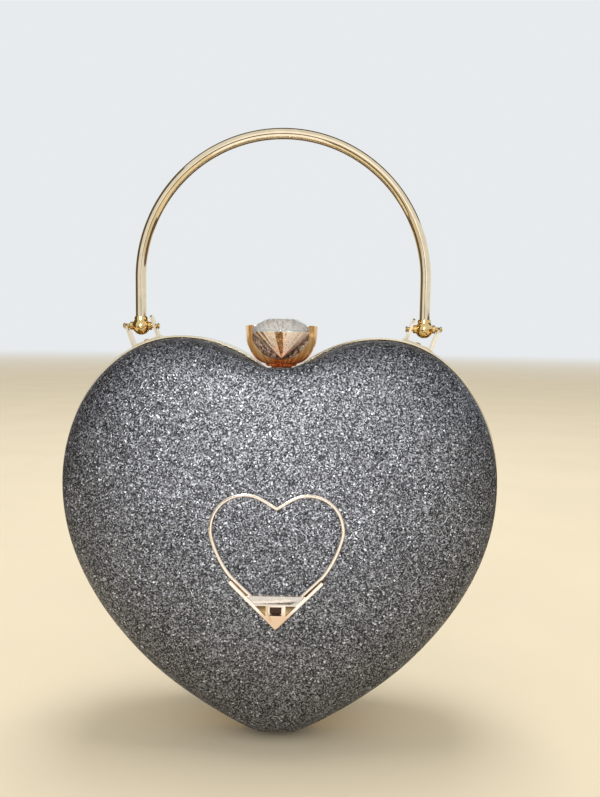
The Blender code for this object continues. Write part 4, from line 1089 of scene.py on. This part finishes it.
class Handle(Operator):
    """The arched rod, its two balls, and the pins and caps they turn on."""

    bl_idname = "clutch.handle"
    bl_label = "Handle"

    def execute(self, context):
        metal = context.scene.clutch_metal
        low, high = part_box("handle_ball_right")
        centre = np.array(((low.x + high.x) / 2, (low.y + high.y) / 2, low.z + metal.ball_radius))
        reach = centre[0]
        angle = np.linspace(0, pi, ARCH_STEPS)[:, None]
        arch = np.concatenate((reach * np.cos(angle), centre[2] + LEG + reach * np.sin(angle)), 1)
        start = np.array(((reach, centre[2] + ROD_START),))
        path = np.concatenate((start, arch, start * (-1, 1)))
        turn = np.linspace(0, 2 * pi, ROD_SIDES, endpoint=False)
        section = np.stack((np.cos(turn), np.sin(turn)), -1) * metal.rod_radius
        rod = skin(carried(path, section + (0, centre[1]), closed=False))
        looks = metals()
        gold = looks["polished_ball"]
        dressed("handle_rod", rod, looks["polished_rod"], "handle")
        for hand, side in (("left", -1), ("right", 1)):
            middle = centre * (side, 1, 1)
            ball = joined(*self.ball(middle, metal.ball_radius))
            dressed(f"handle_ball_{hand}", ball, gold, "handle")
            for node, profile in (("pivot_pin", self.pin(hand)), ("pivot_cap", self.cap(hand))):
                surface = skin(turned(profile, (0, *middle[1:]), "X", TURNED_SIDES))
                dressed(f"{node}_{hand}", surface, gold, "back_half")
        return {"FINISHED"}

    def ball(self, centre, radius):
        """A sphere with a collar round the rod, its upper edge an arc, and a hub across it."""
        angle = np.linspace(np.arcsin(COLLAR_RADIUS / radius), pi - BALL_END, BALL_STEPS)
        corner = np.linspace(0, pi / 2, 5)
        bead = BALL_EDGE * np.stack((np.sin(corner), np.cos(corner)), -1)
        profile = np.concatenate(
            (
                ((BALL_BORE, COLLAR_TOP - BORE_DEPTH), (BALL_BORE, COLLAR_TOP)),
                (COLLAR_RADIUS - BALL_EDGE, COLLAR_TOP - BALL_EDGE) + bead,
                np.stack((radius * np.sin(angle), radius * np.cos(angle)), -1),
            )
        )
        ends = ((HUB_RADIUS - BALL_EDGE, HUB_REACH), (HUB_RADIUS, HUB_REACH - BALL_EDGE))
        hub = np.array((*(np.array(ends) * (1, -1)), *ends[::-1]))
        return skin(turned(profile, centre)), skin(turned(hub, centre, "X", TURNED_SIDES))

    def pin(self, hand):
        """The profile of a pin along X, a flattened dome for its head."""
        low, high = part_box(f"pivot_pin_{hand}")
        radius = (high.z - low.z) / 2
        outer, inner = (low.x, high.x) if hand == "left" else (high.x, low.x)
        thick = PIN_HEAD if outer > inner else -PIN_HEAD
        rise = np.linspace(0, pi / 2, 7)
        head = np.stack((radius * np.cos(rise), outer - thick * (1 - np.sin(rise))), -1)[:-1]
        stem = ((PIN_RADIUS, inner), (PIN_RADIUS, outer - thick), (radius, outer - thick))
        return np.concatenate((stem, head))

    def cap(self, hand):
        """The profile of a round cap along X with softened edges."""
        low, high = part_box(f"pivot_cap_{hand}")
        radius = (high.z - low.z) / 2
        start = ((radius - CAP_EDGE, low.x), (radius, low.x + CAP_EDGE))
        return np.array((*start, (radius, high.x - CAP_EDGE), (radius - CAP_EDGE, high.x)))


class Clasp(Operator):
    """The turned cup with its arched window, and the cut crystal."""

    bl_idname = "clutch.clasp"
    bl_label = "Clasp"

    def execute(self, context):
        clasp = context.scene.clutch_clasp
        radius, height = clasp.cup_radius, clasp.cup_height
        seat = context.scene.clutch_case.height - CLEFT_DEPTH
        foot = seat + BOTTOM_GAP
        shares = np.array((*CUP_UPPER_SHARES, *CUP_LOWER_SHARES))
        side = smooth_line(shares * (radius, height), PROFILE_STEPS)[:-1]
        top = ((radius - LIP_EDGE, height), (radius, height - LIP_EDGE))
        cup = self.upright(np.concatenate((top, side[2:])), foot)
        room = CLEARANCE / 3
        hollow = (
            (clasp.gem_radius * TABLE_SHARE + room, GEM_CROWN),
            (clasp.gem_radius + room, GIRDLE + room),
            (clasp.gem_radius + room, -GIRDLE - room),
            (room, -GEM_PAVILION - room),
        )
        groove = self.upright(hollow, foot + height - GEM_SEAT)
        deep = np.array((radius * BOWL_SHARE, height - GEM_SEAT - WINDOW_FLOOR))
        bowl = smooth_line(np.array(BOWL_SHARES) * deep, PROFILE_STEPS)[:-1]
        bowl = self.upright(bowl, foot + WINDOW_FLOOR)
        axis = seat + CLASP_AXIS_RISE
        reach = EAR_RADIUS + CLEARANCE
        low = (-PLATE_HALF - CLEARANCE, CLASP_AXIS_Y - reach, foot - RECESS_BELOW)
        high = (PLATE_HALF + CLEARANCE, CLASP_AXIS_Y + RECESS_REACH, axis + reach + CLEARANCE)
        mesh = carved(cup, self.window(foot, clasp), groove, bowl, self.block(low, high))
        knuckle = ((EAR_RADIUS, -KNUCKLE_HALF), (EAR_RADIUS, KNUCKLE_HALF))
        knuckle = skin(turned(knuckle, (0, CLASP_AXIS_Y, axis), "X", TURNED_SIDES))
        web = self.block(
            (-KNUCKLE_HALF + WEB_INSET, CLASP_AXIS_Y - reach - WEB_OVERLAP, foot + CLEARANCE),
            (KNUCKLE_HALF - WEB_INSET, CLASP_AXIS_Y, axis + EAR_RADIUS * WEB_TOP_SHARE),
        )
        under = seat + SOLE_GAP
        heights = (under - foot, under + SOLE_EDGE - foot, SOLE_EDGE)
        sole = self.upright(list(zip(SOLE_RADII, heights)), foot, SOLE_SIDES)
        extra = mesh_of("cup_knuckle", joined(knuckle, web, sole))
        shape = bmesh.new()
        shape.from_mesh(mesh)
        bmesh.ops.remove_doubles(shape, verts=shape.verts, dist=CUP_DOUBLES)
        shape.from_mesh(extra)
        shape.to_mesh(mesh)
        shape.free()
        bpy.data.meshes.remove(extra)
        look = cup_look("cup_gold")
        obj = piece(
            "clasp_cup_finished", mesh, look, "clasp", ["clasp_cup"], SHARP_CUP
        )
        soft_edges(obj, CUP_EDGE, limit=BEVELLED_CUP)
        self.crystal()
        return {"FINISHED"}

    def crystal(self):
        """The crystal with thin bevels between its facets, and foil on those that face down."""
        glass = crystal_look("cut_glass")
        gem = softened("crystal", glass, GEM_EDGE, GEM_SHARP)
        bevel = gem.modifiers["soft_edges"]
        bevel.angle_limit = GEM_SHARP
        bevel.segments = 1
        bevel.harden_normals = False
        gem.data.materials.append(foil_look("crystal_foil"))
        facing = np.empty(3 * len(gem.data.polygons), np.float32)
        gem.data.polygons.foreach_get("normal", facing)
        below = (facing[2::3] < FOIL_BELOW).astype(np.int32)
        gem.data.polygons.foreach_set("material_index", below)

    def upright(self, profile, foot, steps=CUP_SIDES):
        """A profile turned about the cup's axis, its heights above a foot."""
        return skin(turned(profile, (0, CUP_CENTRE, foot), steps=steps))

    def window(self, foot, clasp):
        """The arch as a closed loop in the plane of x and z, carried from in front of the cup to
        its middle."""
        half = clasp.cup_radius * WINDOW_HALF_SHARE
        high = clasp.cup_height - WINDOW_FLOOR
        shares = np.array((*WINDOW_UPPER_SHARES, *WINDOW_LOWER_SHARES))
        side = smooth_line(shares * (half, high), PROFILE_STEPS) + (0, foot + WINDOW_FLOOR)
        side = np.concatenate((((half, foot + clasp.cup_height + WINDOW_ABOVE),), side))
        arch = np.concatenate((side, side[-2::-1] * (-1, 1)))
        depths = CUP_CENTRE + np.array((-WINDOW_REACH, 0.0))
        return skin(in_space(np.broadcast_to(arch, (2, *arch.shape)), depths[:, None]))

    def block(self, low, high):
        """A box as a closed surface, from its lowest to its highest corner."""
        (x, y, z), (u, v, w) = low, high
        ring = np.array(((x, z), (u, z), (u, w), (x, w)))
        return skin(in_space(np.broadcast_to(ring, (2, 4, 2)), np.array(((y,), (v,)))))


class Ornament(Operator):
    """The heart-shaped band and its corner clip."""

    bl_idname = "clutch.ornament"
    bl_label = "Ornament"

    def execute(self, context):
        case = context.scene.clutch_case
        ring = context.scene.clutch_ornament
        size = np.array((ring.half_width, ring.height))
        shoulder, lobe, flank = (
            np.array(rows) * size
            for rows in (RING_SHOULDER_SHARES, RING_LOBE_SHARES, RING_FLANK_SHARES)
        )
        ends = ((0, ring.height - RING_CLEFT), *shoulder), (shoulder[-1], *lobe), (lobe[-1], *flank)
        *steps, last = RING_STEPS
        tip = flank[-1:] * np.linspace(1, 0, last)[:, None]
        half = np.concatenate((*(bezier(some, count) for some, count in zip(ends, steps)), tip))
        path = np.concatenate((half, half[-2:0:-1] * (-1, 1)))
        path[:, 1] += case.height * DOME_CENTRE_SHARE - RING_BELOW
        seat = -case.front_crown - CLEARANCE
        b = ring.band
        corners = ((-b, seat), (b, seat), (b, seat - 2 * b), (-b, seat - 2 * b))
        surface = skin(carried(path, rounded(corners, b * 0.75, 5)), looped=True)
        look = metals()["cast_ring"]
        dressed("heart_ring", surface, look, "front_half", DOUBLES / 2)
        softened("ring_clip", clip_look("clip_gold"), CLIP_EDGE)
        return {"FINISHED"}


class Hardware(Operator):
    """Brackets, hinge, catch, rivets and nuts: the CAD solids with softened edges."""

    bl_idname = "clutch.hardware"
    bl_label = "Hardware"

    def execute(self, context):
        looks = metals()
        # The clasp's base and tongue take the dark copper as a painted shadow under the cup.
        copper = (("clasp_base", PLATE_EDGE), ("clasp_tongue", PLATE_EDGE))
        golden = (
            ("handle_bracket_left", BRACKET_EDGE), ("handle_bracket_right", BRACKET_EDGE),
            ("bracket_rivet_left", PIN_EDGE), ("bracket_rivet_right", PIN_EDGE),
            ("clasp_rivet", PIN_EDGE), ("clasp_pin", PIN_EDGE),
        )
        plain = (
            ("catch_plate", PLATE_EDGE), ("catch_rivet_left", PIN_EDGE),
            ("catch_rivet_right", PIN_EDGE), ("clip_nut_left", NUT_EDGE),
            ("clip_nut_right", NUT_EDGE), ("hinge_leaf_back", PLATE_EDGE),
            ("hinge_leaf_front", PLATE_EDGE), ("hinge_pin", PIN_EDGE),
            ("hinge_rivet_back_left", PIN_EDGE), ("hinge_rivet_back_right", PIN_EDGE),
            ("hinge_rivet_front_left", PIN_EDGE), ("hinge_rivet_front_right", PIN_EDGE),
        )
        finishes = (
            ("copper", "hardware_gold", copper), ("fitting_gold", "hardware_gold", golden),
            ("fitting_steel", "steel", plain),
        )
        for look, slot, nodes in finishes:
            for node, width in nodes:
                softened(node, looks[look], width)
        return {"FINISHED"}


class Stage(Operator):
    """Floor, background, lamps and camera."""

    bl_idname = "clutch.stage"
    bl_label = "Stage"

    def execute(self, context):
        stage = context.scene.clutch_stage
        self.floor(stage)
        self.world(stage)
        lamps = {name: self.lamp(name, *made, getattr(stage, name)) for name, made in LAMPS.items()}
        self.light_only(lamps["key"], LIT_BY_KEY)
        self.light_only(lamps["rear"], ("back_glitter",))
        for cards, tone in ((PALE_CARDS, stage.softbox), (DARK_CARDS, DARK)):
            for name, sides in cards.items():
                self.card(name, *sides, tone)
        self.camera(stage)
        context.scene.view_settings.view_transform = "Standard"
        return {"FINISHED"}

    def camera(self, stage):
        """A camera that looks back along Y, turned by its three angles."""
        data = bpy.data.cameras.new("camera")
        data.sensor_fit = "VERTICAL"
        data.sensor_height = SENSOR_HEIGHT
        data.lens = stage.lens
        data.clip_start = 0.01
        camera = self.shown("camera", data)
        turn = Matrix.Rotation(-stage.yaw, 4, "Z") @ Matrix.Rotation(pi / 2 - stage.pitch, 4, "X")
        turn = turn @ Matrix.Rotation(stage.roll, 4, "Z")
        camera.matrix_world = Matrix.Translation(stage.camera_place) @ turn
        bpy.context.scene.camera = camera

    def shown(self, name, data):
        """A new object in the scene."""
        obj = bpy.data.objects.new(name, data)
        bpy.context.scene.collection.objects.link(obj)
        return obj

    def floor(self, stage):
        """A wide disc under the tip whose colour runs out into the background."""
        radius = np.concatenate(([0.05], np.geomspace(0.1, FLOOR_RADIUS, FLOOR_RINGS)))
        rows = len(radius)
        centre = (0, 0, -FLOOR_DROP)
        rings = turned(np.stack((radius, np.zeros(rows)), -1), centre, "Z", FLOOR_SIDES)
        points = np.concatenate((rings.reshape(-1, 3), [centre]))
        around = np.arange(FLOOR_SIDES)
        middle = np.full(FLOOR_SIDES, rows * FLOOR_SIDES)
        fan = np.stack((around, np.roll(around, -1), middle), -1)
        mesh = mesh_of("floor", (points, [quads(rows, FLOOR_SIDES, False), fan]))
        if mesh.polygons[0].normal.z < 0:
            mesh.flip_normals()
        look = Look("pale_floor", Roughness=0.75, Specular_IOR_Level=0.0)
        grain = look.noise(260, 5, 0.6)
        cloud = look.noise(9, 3, 0.5)
        tone = look.mix(look.between(cloud, 0.3, 0.7), tinted(stage.floor, 0.97), stage.floor)
        look.finish(base_color=tone, normal=look.bump(grain, 0.0002, 0.3))
        far = look.vectors("LENGTH", look.place, output="Value")
        glow = {"Color": stage.horizon, "Strength": 1.0}
        glow = look.node("ShaderNodeEmission", None, glow)
        look.fade(look.between(far, 2.0, 9.0), glow, "Material Output")
        mesh.materials.append(look.material)
        self.shown("floor", mesh)

    def card(self, name, centre, across, up, tone):
        """A plain card that only metal, glass and flakes see: its centre and its two sides."""
        centre, across, up = (np.array(x) for x in (centre, across, up))
        corners = ((-1, -1), (1, -1), (1, 1), (-1, 1))
        mesh = bpy.data.meshes.new(name)
        mesh.from_pydata(
            [centre + i * across / 2 + j * up / 2 for i, j in corners], [], [(0, 1, 2, 3)]
        )
        look = Look(name, Roughness=1.0, Emission_Strength=CARD_GLOW)
        glow = look.mix(look.noise(3.0, 2), tinted(tone, 0.8), tinted(tone, 1.2, most=2.0))
        mesh.materials.append(look.finish(base_color=(0.0, 0.0, 0.0), emission_color=glow))
        obj = self.shown(name, mesh)
        for kind in ("camera", "diffuse", "shadow", "volume_scatter"):
            setattr(obj, f"visible_{kind}", False)

    def world(self, stage):
        """Plain light, and the background's own colour for the camera, metal and glass."""
        world = bpy.data.worlds.new("studio")
        bpy.context.scene.world = world
        sky = Nodes(world, "Background", Color=SKY, Strength=stage.world)
        camera, gloss, glass = (
            sky.node("ShaderNodeLightPath", output=f"Is {kind} Ray")
            for kind in ("Camera", "Glossy", "Transmission")
        )
        seen = sky.maths("MAXIMUM", sky.maths("MAXIMUM", camera, gloss), glass)
        shown = {"Color": stage.horizon, "Strength": 1.0}
        sky.fade(seen, sky.node("ShaderNodeBackground", None, shown), "World Output")

    def lamp(self, name, place, size, tone, strength):
        """A square lamp aimed at the middle of the case."""
        data = bpy.data.lights.new(name, "AREA")
        data.shape = "SQUARE"
        data.size = size
        data.energy = strength
        data.color = tone
        lamp = self.shown(name, data)
        lamp.visible_glossy = False
        aim = (Vector(AIM) - Vector(place)).to_track_quat("-Z", "Y")
        lamp.matrix_world = Matrix.Translation(place) @ aim.to_matrix().to_4x4()
        return lamp

    def light_only(self, lamp, names):
        """Lets a lamp light the named pieces alone, which reflect it too."""
        lit = bpy.data.collections.new(f"lit_by_{lamp.name}")
        for name in names:
            lit.objects.link(bpy.data.objects[name])
        lamp.visible_glossy = True
        lamp.light_linking.receiver_collection = lit


class ClutchPanel(Panel):
    """The pieces of the clutch and their settings."""

    bl_idname = "CLUTCH_PT_pieces"
    bl_label = "Heart clutch"
    bl_space_type = "VIEW_3D"
    bl_region_type = "UI"
    bl_category = "Clutch"

    def draw(self, context):
        for group in SETTINGS:
            box = self.layout.box()
            box.label(text=group.title())
            values = getattr(context.scene, f"clutch_{group}")
            for name in values.__annotations__:
                box.prop(values, name)
        for step in STEPS:
            self.layout.operator(step.bl_idname)


SETTINGS = {
    "case": CaseSettings,
    "metal": MetalSettings,
    "clasp": ClaspSettings,
    "ornament": OrnamentSettings,
    "stage": StageSettings,
}
STEPS = (CaseSkins, Rims, Handle, Clasp, Ornament, Hardware, Stage)


def register():
    """Adds the settings, the operators and the panel."""
    for made in (*SETTINGS.values(), *STEPS, ClutchPanel):
        bpy.utils.register_class(made)
    for name, group in SETTINGS.items():
        setattr(bpy.types.Scene, f"clutch_{name}", PointerProperty(type=group))


def unregister():
    """Takes them away again, in the opposite order."""
    for name in SETTINGS:
        delattr(bpy.types.Scene, f"clutch_{name}")
    for made in (ClutchPanel, *reversed(STEPS), *reversed(SETTINGS.values())):
        bpy.utils.unregister_class(made)


def main():
    """Makes every piece and the stage."""
    register()
    for step in STEPS:
        group, name = step.bl_idname.split(".")
        getattr(getattr(bpy.ops, group), name)()


if __name__ == "__main__":
    main()
